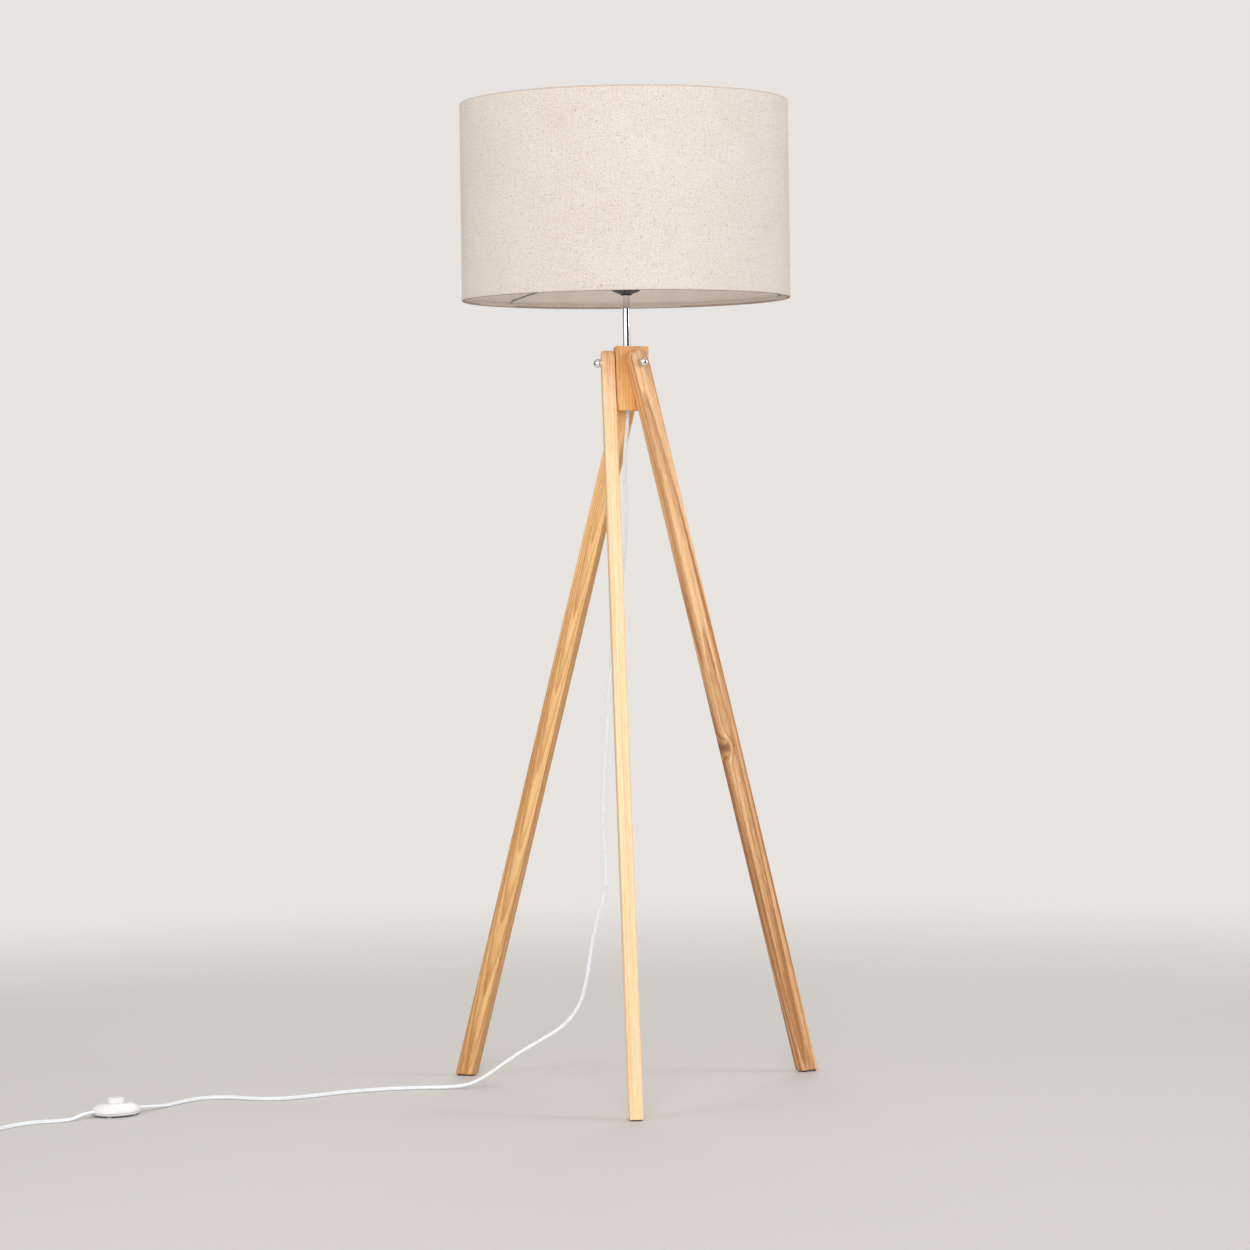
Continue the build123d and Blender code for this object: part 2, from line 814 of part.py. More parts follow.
def switch_oval(height, shrink=0.0):
    """Sketch of the switch's oval outline at a height, drawn in by shrink."""
    with BuildSketch(switch_plane.offset(height)) as outline:
        Ellipse(switch_length / 2 - shrink, switch_width / 2 - shrink)
    return outline.sketch


cord_way = Plane(
    origin=at_switch(-switch_length, switch_parting),
    x_dir=switch_plane.y_dir,
    z_dir=switch_plane.x_dir,
)
cord_way_length = switch_length / 2 + cord_way_reach
exit_way = Plane(
    origin=at_switch(switch_length, switch_parting),
    x_dir=switch_plane.y_dir,
    z_dir=switch_plane.x_dir * -1,
)

screw_places = [(0, switch_screw_offset), (0, -switch_screw_offset)]
switch_floor = switch_foot_height + switch_wall
with BuildPart() as switch_base:
    add(extrude(switch_oval(switch_foot_height), amount=switch_parting - switch_foot_height))
    fillet(edges().group_by(Axis.Z)[0], radius=switch_base_round)
    inside = switch_parting - switch_foot_height - switch_wall
    add(extrude(switch_oval(switch_foot_height + switch_wall, switch_wall), amount=inside), mode=Mode.SUBTRACT)
    with BuildSketch(cord_way, exit_way):
        Circle(cord_width / 2)
    extrude(amount=cord_way_length, mode=Mode.SUBTRACT)
    with BuildSketch(switch_plane):
        with Locations(*screw_places):
            Circle(screw_radius)
    extrude(amount=switch_floor, mode=Mode.SUBTRACT)
finish(switch_base.part, "switch_base")

with BuildPart() as switch_cover:
    add(extrude(switch_oval(switch_parting), amount=switch_top - switch_parting))
    fillet(edges().group_by(Axis.Z)[-1], radius=switch_dome_round)
    offset(amount=-switch_wall, openings=faces().sort_by(Axis.Z)[0])
    with BuildSketch(switch_plane.offset(switch_top)):
        Circle(button_radius + loose_fit)
    extrude(amount=-2 * switch_wall, mode=Mode.SUBTRACT)
    with BuildSketch(cord_way, exit_way):
        Circle(cord_width / 2)
    extrude(amount=cord_way_length, mode=Mode.SUBTRACT)
    # posts for the screws
    with BuildSketch(switch_plane.offset(switch_floor)):
        with Locations(*screw_places):
            Circle(post_radius)
            Circle(screw_radius, mode=Mode.SUBTRACT)
    extrude(amount=switch_top - switch_wall / 2 - switch_floor)
finish(switch_cover.part, "switch_cover")

# Button: a cup with a flange that keeps it under the cover
button_low = switch_top - switch_wall - button_flange_thickness - button_under_cover
with BuildPart() as switch_button:
    with BuildSketch(switch_plane.offset(button_low)):
        Circle(button_radius + button_flange)
    extrude(amount=button_flange_thickness)
    with BuildSketch(switch_plane.offset(button_low)):
        Circle(button_radius)
    extrude(amount=button_top - button_low)
    fillet(edges().group_by(Axis.Z)[-1], radius=button_edge_round)
    with BuildSketch(switch_plane.offset(button_low)):
        Circle(button_radius - button_wall)
    extrude(amount=button_top - button_low - button_wall, mode=Mode.SUBTRACT)
finish(switch_button.part, "switch_button")

block_level = switch_floor + switch_block_height
with BuildPart() as switch_mechanism:
    with BuildSketch(switch_plane.offset(switch_floor)):
        RectangleRounded(mechanism_length, mechanism_width, radius=mechanism_round)
    extrude(amount=switch_block_height)
    with BuildSketch(switch_plane.offset(block_level)):
        Circle(plunger_radius)
    extrude(amount=plunger_height)
finish(switch_mechanism.part, "switch_mechanism")

spring_top = button_top - button_wall
spring_height = spring_top - block_level - 2 * spring_wire
with BuildPart() as switch_spring:
    with BuildLine(switch_plane.offset(block_level + spring_wire)) as spring_line:
        Helix(pitch=spring_height / spring_turns, height=spring_height, radius=spring_radius)
    spring_path = spring_line.wires()[0]
    with BuildSketch(Plane(origin=spring_path @ 0, z_dir=spring_path % 0)):
        Circle(spring_wire)
    sweep(path=spring_path, is_frenet=True)
finish(switch_spring.part, "switch_spring")

# Clamps that hold the cord's two ends in the switch
clamp_x = cord_in_switch - clamp_length / 2 + clamp_past_cord
clamp_level = switch_parting + cord_width / 2
with BuildPart() as cord_clamps:
    with BuildSketch(switch_plane.offset(switch_floor)):
        with Locations((clamp_x, 0), (-clamp_x, 0)):
            RectangleRounded(clamp_length, clamp_width, radius=clamp_round)
    extrude(amount=clamp_level + clamp_height - switch_floor)
    with BuildSketch(cord_way, exit_way):
        Circle(cord_width / 2)
    extrude(amount=cord_way_length + clamp_length, mode=Mode.SUBTRACT)
finish(cord_clamps.part, "cord_clamps")

with BuildPart() as switch_feet:
    with BuildSketch(switch_plane):
        with GridLocations(foot_spacing_x, foot_spacing_y, 2, 2):
            Circle(foot_radius)
    extrude(amount=switch_foot_height)
finish(switch_feet.part, "switch_feet")

with BuildPart() as switch_screws:
    with BuildSketch(switch_plane.offset(switch_foot_height - screw_head_height)):
        with Locations(*screw_places):
            Circle(screw_head_radius)
    extrude(amount=screw_head_height)
    with BuildSketch(switch_plane.offset(switch_foot_height)):
        with Locations(*screw_places):
            Circle(screw_radius)
    extrude(amount=screw_length)
finish(switch_screws.part, "switch_screws")

# ---- Plug, lying flat beside the coil and pointing along +Y ----
relief_end_y = relief_start_y + relief_length
pin_face_y = relief_end_y + plug_length
half = plug_width / 2
with BuildPart() as plug_body:
    with BuildSketch(Plane.XY):
        with BuildLine():
            Polyline(
                (tail_x - plug_waist / 2, relief_end_y),
                (tail_x + plug_waist / 2, relief_end_y),
                (tail_x + half, relief_end_y + plug_length * plug_shoulder),
                (tail_x + half, pin_face_y),
                (tail_x - half, pin_face_y),
                (tail_x - half, relief_end_y + plug_length * plug_shoulder),
                close=True,
            )
        make_face()
        fillet(vertices(), radius=plug_round)
    extrude(amount=plug_thickness)
    fillet(edges().group_by(Axis.Z)[0] + edges().group_by(Axis.Z)[-1], radius=plug_edge_round)
    with Locations(
        *[
            Plane(origin=(tail_x + side * pin_spacing / 2, pin_face_y, plug_axis_z), z_dir=(0, 1, 0))
            for side in (-1, 1)
        ]
    ):
        Hole(radius=pin_core_radius, depth=pin_in_body)
finish(plug_body.part, "plug_body")


def pin_plane(side, along):
    return Plane(
        origin=(tail_x + side * pin_spacing / 2, pin_face_y + along, plug_axis_z),
        x_dir=(1, 0, 0),
        z_dir=(0, 1, 0),
    )


with BuildPart() as plug_pins:
    with BuildSketch(pin_plane(-1, -pin_in_body), pin_plane(1, -pin_in_body)):
        Circle(pin_core_radius)
    extrude(amount=pin_in_body + pin_sleeve_length)
    with BuildSketch(pin_plane(-1, pin_sleeve_length), pin_plane(1, pin_sleeve_length)):
        Circle(pin_radius)
    extrude(amount=pin_length - pin_sleeve_length)
    fillet(edges().group_by(Axis.Y)[-1], radius=pin_tip_round)
finish(plug_pins.part, "plug_pins")

with BuildPart() as pin_sleeves:
    with BuildSketch(pin_plane(-1, 0), pin_plane(1, 0)):
        Circle(pin_radius)
        Circle(pin_core_radius, mode=Mode.SUBTRACT)
    extrude(amount=pin_sleeve_length)
finish(pin_sleeves.part, "pin_sleeves")

# Tapered strain relief with ribs
relief_plane = Plane(origin=(tail_x, relief_start_y, plug_axis_z), x_dir=(1, 0, 0), z_dir=(0, 1, 0))
with BuildPart() as plug_strain_relief:
    with BuildSketch(relief_plane):
        Circle(relief_end_radius)
    with BuildSketch(relief_plane.offset(relief_length)):
        Circle(relief_start_radius)
    loft()
    for rib in range(relief_rib_count):
        share = (rib + 0.5) / relief_rib_count
        cone_radius = relief_end_radius + (relief_start_radius - relief_end_radius) * share
        with BuildSketch(relief_plane.offset(relief_length * share - relief_rib_width / 2)):
            Circle(cone_radius + relief_rib_height)
        extrude(amount=relief_rib_width)
    with BuildSketch(relief_plane):
        Circle(cord_width / 2)
    extrude(amount=relief_bore, mode=Mode.SUBTRACT)
finish(plug_strain_relief.part, "plug_strain_relief")
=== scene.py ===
import math

import bpy
import numpy as np
from mathutils import Euler, Matrix, Vector


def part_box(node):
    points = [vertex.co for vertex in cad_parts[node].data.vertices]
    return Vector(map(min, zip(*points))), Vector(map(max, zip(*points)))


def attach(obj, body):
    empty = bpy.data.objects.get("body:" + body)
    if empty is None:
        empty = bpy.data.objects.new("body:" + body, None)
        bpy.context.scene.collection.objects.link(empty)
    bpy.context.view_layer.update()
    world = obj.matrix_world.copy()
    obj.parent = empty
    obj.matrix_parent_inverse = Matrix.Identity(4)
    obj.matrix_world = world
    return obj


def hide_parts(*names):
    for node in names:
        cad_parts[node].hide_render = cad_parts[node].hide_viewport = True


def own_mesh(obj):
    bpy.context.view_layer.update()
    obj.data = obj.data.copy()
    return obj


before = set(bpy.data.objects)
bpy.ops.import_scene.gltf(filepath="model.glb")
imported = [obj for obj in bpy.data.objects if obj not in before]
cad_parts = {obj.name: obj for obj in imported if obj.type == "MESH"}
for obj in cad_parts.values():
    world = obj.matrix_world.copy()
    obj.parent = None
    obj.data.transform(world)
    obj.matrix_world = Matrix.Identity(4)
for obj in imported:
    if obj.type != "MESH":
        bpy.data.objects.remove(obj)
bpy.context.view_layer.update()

bpy.context.scene.view_settings.view_transform = "Standard"
print("frame loaded,", len(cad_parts), "nodes")

# Camera: level, somewhat below the head block, turned a touch about its own axis
cameraSetup = {
    "distance": 5.195,
    "height": 0.7824,
    "azimuth": 0.3,  # degrees towards +X
    "roll": -0.75,  # degrees
    "lens": 109.15,
    "shiftX": -0.0032,
    "shiftY": -0.0864,
    "clipEnd": 60,
}


def makeCamera(c):
    data = bpy.data.cameras.new("camera")
    data.lens = c["lens"]
    data.shift_x = c["shiftX"]
    data.shift_y = c["shiftY"]
    data.clip_end = c["clipEnd"]
    camera = bpy.data.objects.new("camera", data)
    turn = math.radians(c["azimuth"])
    camera.location = (c["distance"] * math.sin(turn), -c["distance"] * math.cos(turn), c["height"])
    look = Matrix.Rotation(turn, 4, "Z") @ Matrix.Rotation(math.pi / 2, 4, "X")
    camera.rotation_euler = (look @ Matrix.Rotation(math.radians(c["roll"]), 4, "Z")).to_euler()
    bpy.context.scene.collection.objects.link(camera)
    bpy.context.scene.camera = camera


makeCamera(cameraSetup)
print("camera set")


def gridFaces(rows, columns, wrap):
    # quads between neighbouring rows and columns of points, which are numbered row by row;
    # wrap joins the last column to the first
    row = np.arange(rows - 1)[:, None]
    column = np.arange(columns if wrap else columns - 1)[None, :]
    beside = (column + 1) % columns
    corners = [
        row * columns + column,
        row * columns + beside,
        (row + 1) * columns + beside,
        (row + 1) * columns + column,
    ]
    return np.stack(np.broadcast_arrays(*corners), -1).reshape(-1, 4)


def putPiece(name, mesh, body):
    # a mesh becomes an evenly shaded piece that moves with its body
    mesh.polygons.foreach_set("use_smooth", np.ones(len(mesh.polygons), bool))
    piece = bpy.data.objects.new(name, mesh)
    bpy.context.scene.collection.objects.link(piece)
    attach(piece, body)
    return piece


def putMesh(name, points, faces, body, uv=None):
    # points, four-cornered faces and, per point, a place on the flat material
    mesh = bpy.data.meshes.new(name)
    mesh.vertices.add(len(points))
    mesh.vertices.foreach_set("co", np.asarray(points, np.float32).ravel())
    mesh.loops.add(faces.size)
    mesh.loops.foreach_set("vertex_index", faces.astype(np.int32).ravel())
    mesh.polygons.add(len(faces))
    mesh.polygons.foreach_set("loop_start", np.arange(0, faces.size, faces.shape[1], dtype=np.int32))
    mesh.update(calc_edges=True)
    if uv is not None:
        layer = mesh.uv_layers.new(name="flat")
        layer.uv.foreach_set("vector", np.asarray(uv, np.float32)[faces.ravel()].ravel())
    return putPiece(name, mesh, body)


def putTube(name, rings, body):
    # rings of points, anticlockwise about the line they follow; a fan of triangles closes each end
    rows, columns = rings.shape[:2]
    points = np.concatenate([rings.reshape(-1, 3), rings[[0, -1]].mean(1)])
    ring = np.arange(columns)
    beside = (ring + 1) % columns
    lastRing = (rows - 1) * columns
    startCap = np.stack([0 * ring + rows * columns, beside, ring], -1)
    endCap = np.stack([0 * ring + rows * columns + 1, lastRing + ring, lastRing + beside], -1)
    faces = gridFaces(rows, columns, True).tolist() + startCap.tolist() + endCap.tolist()
    mesh = bpy.data.meshes.new(name)
    mesh.from_pydata(points.tolist(), [], faces)
    return putPiece(name, mesh, body)


def smooth(value, low, high):
    # 0 below low, 1 above high and an even S between
    share = np.clip((value - low) / (high - low), 0, 1)
    return share * share * (3 - 2 * share)


# Cords: a flat flex of two cores side by side
flex = {
    "width": 0.0052,
    "core": 0.0016,  # radius of each core's sheath
    "sides": 24,
    "stepsPerPoint": 8,
    "twistSpan": 25,  # steps over which a change of twist is evened out
    "settled": (1.02, 1.6),  # heights, in half widths, up to which it lies flat and from which it is free
    "hanging": (0.03, 0.22),  # heights in metres between which it turns from lying to hanging
}
layZ = flex["width"] / 2  # height of the route's points over the floor
switchStand = {
    "x": -0.688,
    "y": -0.184,
    "turn": 214.8,  # degrees from +X to its long axis
    "cordZ": 0.007,  # height at which the cord passes in
}


def atSwitch(along):
    # a place of the cord in or beside the switch, counted along its long axis from its middle
    turn = math.radians(switchStand["turn"])
    x = switchStand["x"] + along * math.cos(turn)
    y = switchStand["y"] + along * math.sin(turn)
    return (x, y, switchStand["cordZ"])


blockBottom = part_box("head_block")[0].z

# Straight down from the bush, out between the front and left legs, then over the floor to the foot switch
upperRoute = [
    (0, 0, blockBottom + 0.004),
    (0, 0, blockBottom - 0.016),
    (-0.0035, 0.0015, 0.884),
    (-0.006, 0.0045, 0.844),
    (-0.003, 0.009, 0.798),
    (-0.005, 0.013, 0.748),
    (-0.010, 0.017, 0.702),
    (-0.017, 0.019, 0.654),
    (-0.0245, 0.020, 0.606),
    (-0.030, 0.021, 0.560),
    (-0.033, 0.021, 0.510),
    (-0.036, 0.022, 0.462),
    (-0.0395, 0.023, 0.412),
    (-0.042, 0.024, 0.362),
    (-0.0395, 0.025, 0.320),
    (-0.0365, 0.024, 0.286),
    (-0.043, 0.023, 0.252),
    (-0.055, 0.022, 0.216),
    (-0.062, 0.021, 0.176),
    (-0.068, 0.019, 0.138),
    (-0.079, 0.017, 0.106),
    (-0.100, 0.014, 0.083),
    (-0.129, 0.012, 0.066),
    (-0.158, 0.010, 0.050),
    (-0.184, 0.008, 0.033),
    (-0.207, 0.006, 0.017),
    (-0.229, 0.006, 0.006),
    (-0.256, 0.008, layZ),
    (-0.302, 0.009, layZ),
    (-0.352, -0.002, layZ),
    (-0.400, -0.024, layZ),
    (-0.440, -0.055, layZ),
    (-0.478, -0.078, layZ),
    (-0.518, -0.074, layZ),
    (-0.553, -0.055, layZ),
    (-0.588, -0.060, layZ),
    (-0.614, -0.093, layZ),
    (-0.632, -0.128, layZ),
    atSwitch(-0.042),
    atSwitch(-0.027),
]

coil = {
    "x": -0.875,
    "y": -0.322,
    "turns": 4.31,
    "start": -67.0,  # degrees, clockwise from here
    "inner": 0.02325,
    "pitch": 0.00325,
    "turnBack": 2.3,  # turns wound inwards before it climbs and winds outwards
    "ease": 0.0005,  # metres that round off the change from inwards to outwards
    "climb": (1.95, 2.3),
    "low": layZ,
    "high": 0.0078,
    "pointsPerTurn": 16,
}


def coilTurns(c):
    # clockwise turns; the radius falls by one pitch a turn, then grows again on the upper layer
    count = int(c["turns"] * c["pointsPerTurn"])
    done = (np.arange(count) + 1) / (count + 1) * c["turns"]
    angle = math.radians(c["start"]) - 2 * np.pi * done
    radius = c["inner"] + np.hypot(c["pitch"] * (done - c["turnBack"]), c["ease"])
    height = c["low"] + (c["high"] - c["low"]) * smooth(done, *c["climb"])
    turns = np.stack([c["x"] + radius * np.cos(angle), c["y"] + radius * np.sin(angle), height], -1)
    return [tuple(point) for point in turns.tolist()]


plugEnd = {
    "x": -0.9044,
    "axisZ": 0.0068,
}

# From the switch to the coil, round it, and off its left side to the plug
lowerRoute = [
    atSwitch(0.027),
    atSwitch(0.046),
    (-0.738, -0.232, layZ),
    (-0.758, -0.246, layZ),
    (-0.781, -0.250, layZ),
    (-0.804, -0.271, layZ),
    (-0.824, -0.303, layZ),
    (-0.842, -0.338, layZ),
]
lowerRoute += coilTurns(coil)
lowerRoute += [
    (plugEnd["x"] - 0.0005, -0.309, coil["high"]),
    (plugEnd["x"], -0.296, plugEnd["axisZ"]),
    (plugEnd["x"], -0.281, plugEnd["axisZ"]),
]


def splineLine(route):
    # points along the smooth curve that the route's points pull on
    data = bpy.data.curves.new("route", "CURVE")
    data.dimensions = "3D"
    data.resolution_u = flex["stepsPerPoint"]
    spline = data.splines.new("NURBS")
    spline.points.add(len(route) - 1)
    spline.points.foreach_set("co", np.column_stack([route, np.ones(len(route))]).ravel())
    spline.order_u = 3
    spline.use_endpoint_u = True
    guide = bpy.data.objects.new("route", data)
    bpy.context.scene.collection.objects.link(guide)
    mesh = bpy.data.meshes.new_from_object(guide)
    line = np.zeros(len(mesh.vertices) * 3)
    mesh.vertices.foreach_get("co", line)
    bpy.data.objects.remove(guide)
    return line.reshape(-1, 3)


def alongLine(line):
    # how far each point is from the line's start, added up from step to step
    steps = np.linalg.norm(np.diff(line, axis=0), axis=1)
    return np.concatenate([[0], np.cumsum(steps)])


def makeFlex(name, route, twist):
    # the outline of two touching sheaths carried along the line, its flat side turned by the twist:
    # a point at angle a stands at c |cos a| + sqrt(r^2 - c^2 sin^2 a), c being half the cores' distance
    line = splineLine(route)
    distance = alongLine(line)
    span = flex["twistSpan"]
    turn = np.radians(np.interp(distance, *np.array(twist).T))
    turn = np.convolve(np.pad(turn, span // 2, mode="edge"), np.ones(span) / span, mode="valid")
    # where it lies flat it sinks until its sheath touches the floor
    half = flex["width"] / 2 - flex["core"]
    settled, free = flex["settled"]
    lying = 1 - smooth(line[:, 2], layZ * settled, layZ * free)
    line[:, 2] -= half * (1 - np.abs(np.sin(turn))) * lying
    tangent = np.gradient(line, axis=0)
    tangent /= np.linalg.norm(tangent, axis=1)[:, None]
    hanging = smooth(line[:, 2], *flex["hanging"])
    facing = np.stack([0 * hanging, -hanging, 1 - hanging], -1)
    wide = np.cross(tangent, facing)
    wide /= np.linalg.norm(wide, axis=1)[:, None]
    thin = np.cross(wide, tangent)
    across = wide * np.cos(turn)[:, None] + thin * np.sin(turn)[:, None]
    up = thin * np.cos(turn)[:, None] - wide * np.sin(turn)[:, None]
    angle = np.arange(flex["sides"]) / flex["sides"] * 2 * np.pi
    reach = half * np.abs(np.cos(angle)) + np.sqrt(flex["core"] ** 2 - (half * np.sin(angle)) ** 2)
    acrossReach = (reach * np.cos(angle))[None, :, None]
    upReach = (reach * np.sin(angle))[None, :, None]
    piece = putTube(name, line[:, None] + across[:, None] * acrossReach - up[:, None] * upReach, "head")
    print(name, "length", round(float(distance[-1]), 4))
    return piece, line


# Foot switch: a low oval dome on a base that draws in below a shadow gap
switchShape = {
    "halfLength": 0.033,
    "halfWidth": 0.0285,
    "parting": 0.0055,  # height where cover and base meet
    "top": 0.0165,
    "foot": 0.0013,
    "gap": 0.00012,  # half the gap between cover and base
    "crown": 0.40,  # the flat top's share of the oval
    "domePower": 0.85,  # below 1 keeps the dome's side full
    "edgeRise": 0.0006,  # upright stretch at the cover's edge
    "edgePower": 8,
    "lipScale": (0.90, 0.955, 0.985, 0.997),  # the cover's edge, from inside out
    "lipRise": (0.0, 0.0, 0.00008, 0.0003),
    "baseLip": (0.90, 0.98),
    "drawIn": 0.30,  # how much smaller the base's underside is
    "drawPower": 1.2,
    "bore": 0.0114,
    "sides": 128,
    "rows": 18,
}


def ovalShell(name, scale, height, bore):
    # the switch's oval, a cos t and b sin t, scaled and lifted row by row; the last row closes in to the bore
    c = switchShape
    angle = np.arange(c["sides"]) / c["sides"] * 2 * np.pi
    ring = np.stack([np.cos(angle), np.sin(angle), 0 * angle], -1)
    oval = ring * np.array([c["halfLength"], c["halfWidth"], 0])
    rows = np.concatenate([scale[:, None, None] * oval, bore * ring[None]])
    rows[:, :, 2] = np.append(height, height[-1])[:, None]
    turn = np.array(Matrix.Rotation(math.radians(switchStand["turn"]), 3, "Z"))
    points = rows.reshape(-1, 3) @ turn.T + np.array([switchStand["x"], switchStand["y"], 0])
    return putMesh(name, points, gridFaces(len(rows), c["sides"], True), "head")


def makeSwitch(c):
    # cover, s running over a quarter turn: scale = crown + (1 - crown) cos^p s, height = rise sin s
    quarter = np.linspace(0, 1, c["rows"]) * np.pi / 2
    seat = c["parting"] + c["gap"]
    dome = c["crown"] + (1 - c["crown"]) * np.cos(quarter) ** c["domePower"]
    lift = seat + (c["top"] - seat) * np.sin(quarter) + c["edgeRise"] * np.cos(quarter) ** c["edgePower"]
    coverHeight = np.concatenate([seat + np.array(c["lipRise"]), lift])
    cover = ovalShell("switchCover", np.concatenate([c["lipScale"], dome]), coverHeight, c["bore"])
    # base: scale = 1 - drawIn (1 - cos s)^p, depth = drop sin s
    rest = c["parting"] - c["gap"]
    under = 1 - c["drawIn"] * (1 - np.cos(quarter)) ** c["drawPower"]
    drop = rest - (rest - c["foot"]) * np.sin(quarter)
    baseHeight = np.concatenate([[rest] * len(c["baseLip"]), drop])
    base = ovalShell("switchBase", np.concatenate([c["baseLip"], under]), baseHeight, 0.0)
    base.data.flip_normals()
    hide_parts("switch_cover")
    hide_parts("switch_base")
    return cover, base


switchCover, switchBase = makeSwitch(switchShape)

# The return spring: a helix, its lower end standing on the switch block
springShape = {
    "turns": 5,
    "wire": 0.00045,  # radius
    "stepsPerTurn": 40,
    "sides": 10,
    "travel": 0.003,
    "tip": 0.05,  # the ground ends' share of the wire's radius
}


def makeSpring(c):
    # the wire's middle goes round at R (cos t, sin t) and rises evenly; about it, in the upright plane
    # through the spring's axis, goes a circle of the wire's radius
    low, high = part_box("switch_spring")
    middle = (low + high) / 2
    radius = (high.x - low.x) / 2 - c["wire"]
    done = np.linspace(0, 1, c["turns"] * c["stepsPerTurn"] + 1)[:, None]
    turn = 2 * np.pi * c["turns"] * done
    height = low.z + c["wire"] + (high.z - low.z - 2 * c["wire"]) * done
    angle = np.arange(c["sides"]) / c["sides"] * 2 * np.pi
    reach = np.where((done == 0) | (done == 1), c["tip"], 1.0) * c["wire"]
    out = radius + reach * np.cos(angle)
    rings = [middle.x + out * np.cos(turn), middle.y + out * np.sin(turn), height - reach * np.sin(angle)]
    piece = putTube("switchSpring", np.stack(rings, -1), "head")
    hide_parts("switch_spring")
    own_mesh(piece)
    return piece


switchSpring = makeSpring(springShape)

# A strap round one side of the coil holds its turns
strapShape = {
    "side": 20.0,  # degrees from +X, seen from the coil's middle
    "across": 0.0069,  # half the loop's reach outwards
    "upward": 0.0056,  # half its height
    "width": 0.0036,
    "thickness": 0.0005,
    "steps": 64,
}


def makeStrap(c):
    # a rounded loop |x/a|^4 + |z/b|^4 = 1 in the upright plane through the coil's middle, carried sideways
    # by the strap's width, its outer face first and its inner face after
    turn = math.radians(c["side"])
    outward = np.array([math.cos(turn), math.sin(turn), 0])
    sideways = np.array([-math.sin(turn), math.cos(turn), 0])
    upward = np.array([0, 0, 1])
    middle = coil["inner"] + coil["pitch"] * coil["turnBack"] / 2
    share = np.arange(c["steps"]) / c["steps"] * 2 * np.pi
    reach = np.sign(np.cos(share)) * np.sqrt(np.abs(np.cos(share)))
    lift = np.sign(np.sin(share)) * np.sqrt(np.abs(np.sin(share)))
    edges = []
    for side, skin in ((-1, 0), (1, 0), (1, 1), (-1, 1)):
        x = middle + (c["across"] - c["thickness"] * skin) * reach
        z = c["upward"] + (c["upward"] - c["thickness"] * skin) * lift
        edges.append(x[:, None] * outward + z[:, None] * upward + sideways * side * c["width"] / 2)
    points = np.stack(edges, 1).reshape(-1, 3) + np.array([coil["x"], coil["y"], 0])
    faces = gridFaces(c["steps"] + 1, len(edges), True) % len(points)  # the last row is the first again
    piece = putMesh("coilStrap", points, faces, "head")
    return piece


coilStrap = makeStrap(strapShape)
print("switch shells, spring and coil strap made")

# Twist of the flat side: metres along the cord and degrees
upperTwist = [(0, 0), (0.25, 20), (0.45, -25), (0.62, 10), (0.78, 35), (0.9, 65), (1.1, 60), (1.25, 70)]
upperTwist += [(1.4, 75), (1.47, 60), (1.505, 0), (1.6, 0)]
lowerTwist = [(0, 0), (0.02, 0), (0.055, 60), (0.12, 75), (0.17, 90), (0.92, 90), (0.96, 0), (1.1, 0)]
cordUpper, upperLine = makeFlex("cordUpper", upperRoute, upperTwist)
cordLower, lowerLine = makeFlex("cordLower", lowerRoute, lowerTwist)
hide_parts("cord_upper")
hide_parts("cord_lower", "cord_coil", "cord_tail")
switchPieces = [switchBase, switchCover, switchSpring, "switch_button", "switch_mechanism"]
switchPieces += ["cord_clamps", "switch_feet", "switch_screws"]
print("cords laid")


def newMaterial(name, **values):
    # values are the surface's own settings, with spaces left out of their names
    material = bpy.data.materials.new(name)
    material.use_nodes = True
    surface = material.node_tree.nodes["Principled BSDF"]
    names = {socket.name.replace(" ", ""): socket for socket in surface.inputs}
    for key, value in values.items():
        names[key].default_value = (*value, 1) if isinstance(value, tuple) and len(value) == 3 else value
    return material


def newGroup(name, inputs, outputs):
    # a shared effect; inputs are name: (kind, value), outputs are name: kind
    group = bpy.data.node_groups.new(name, "ShaderNodeTree")
    for key, (kind, value) in inputs.items():
        socket = group.interface.new_socket(key, in_out="INPUT", socket_type=kind)
        if value is not None:
            socket.default_value = value
    for key, kind in outputs.items():
        group.interface.new_socket(key, in_out="OUTPUT", socket_type=kind)
    return group, group.nodes.new("NodeGroupInput"), group.nodes.new("NodeGroupOutput")


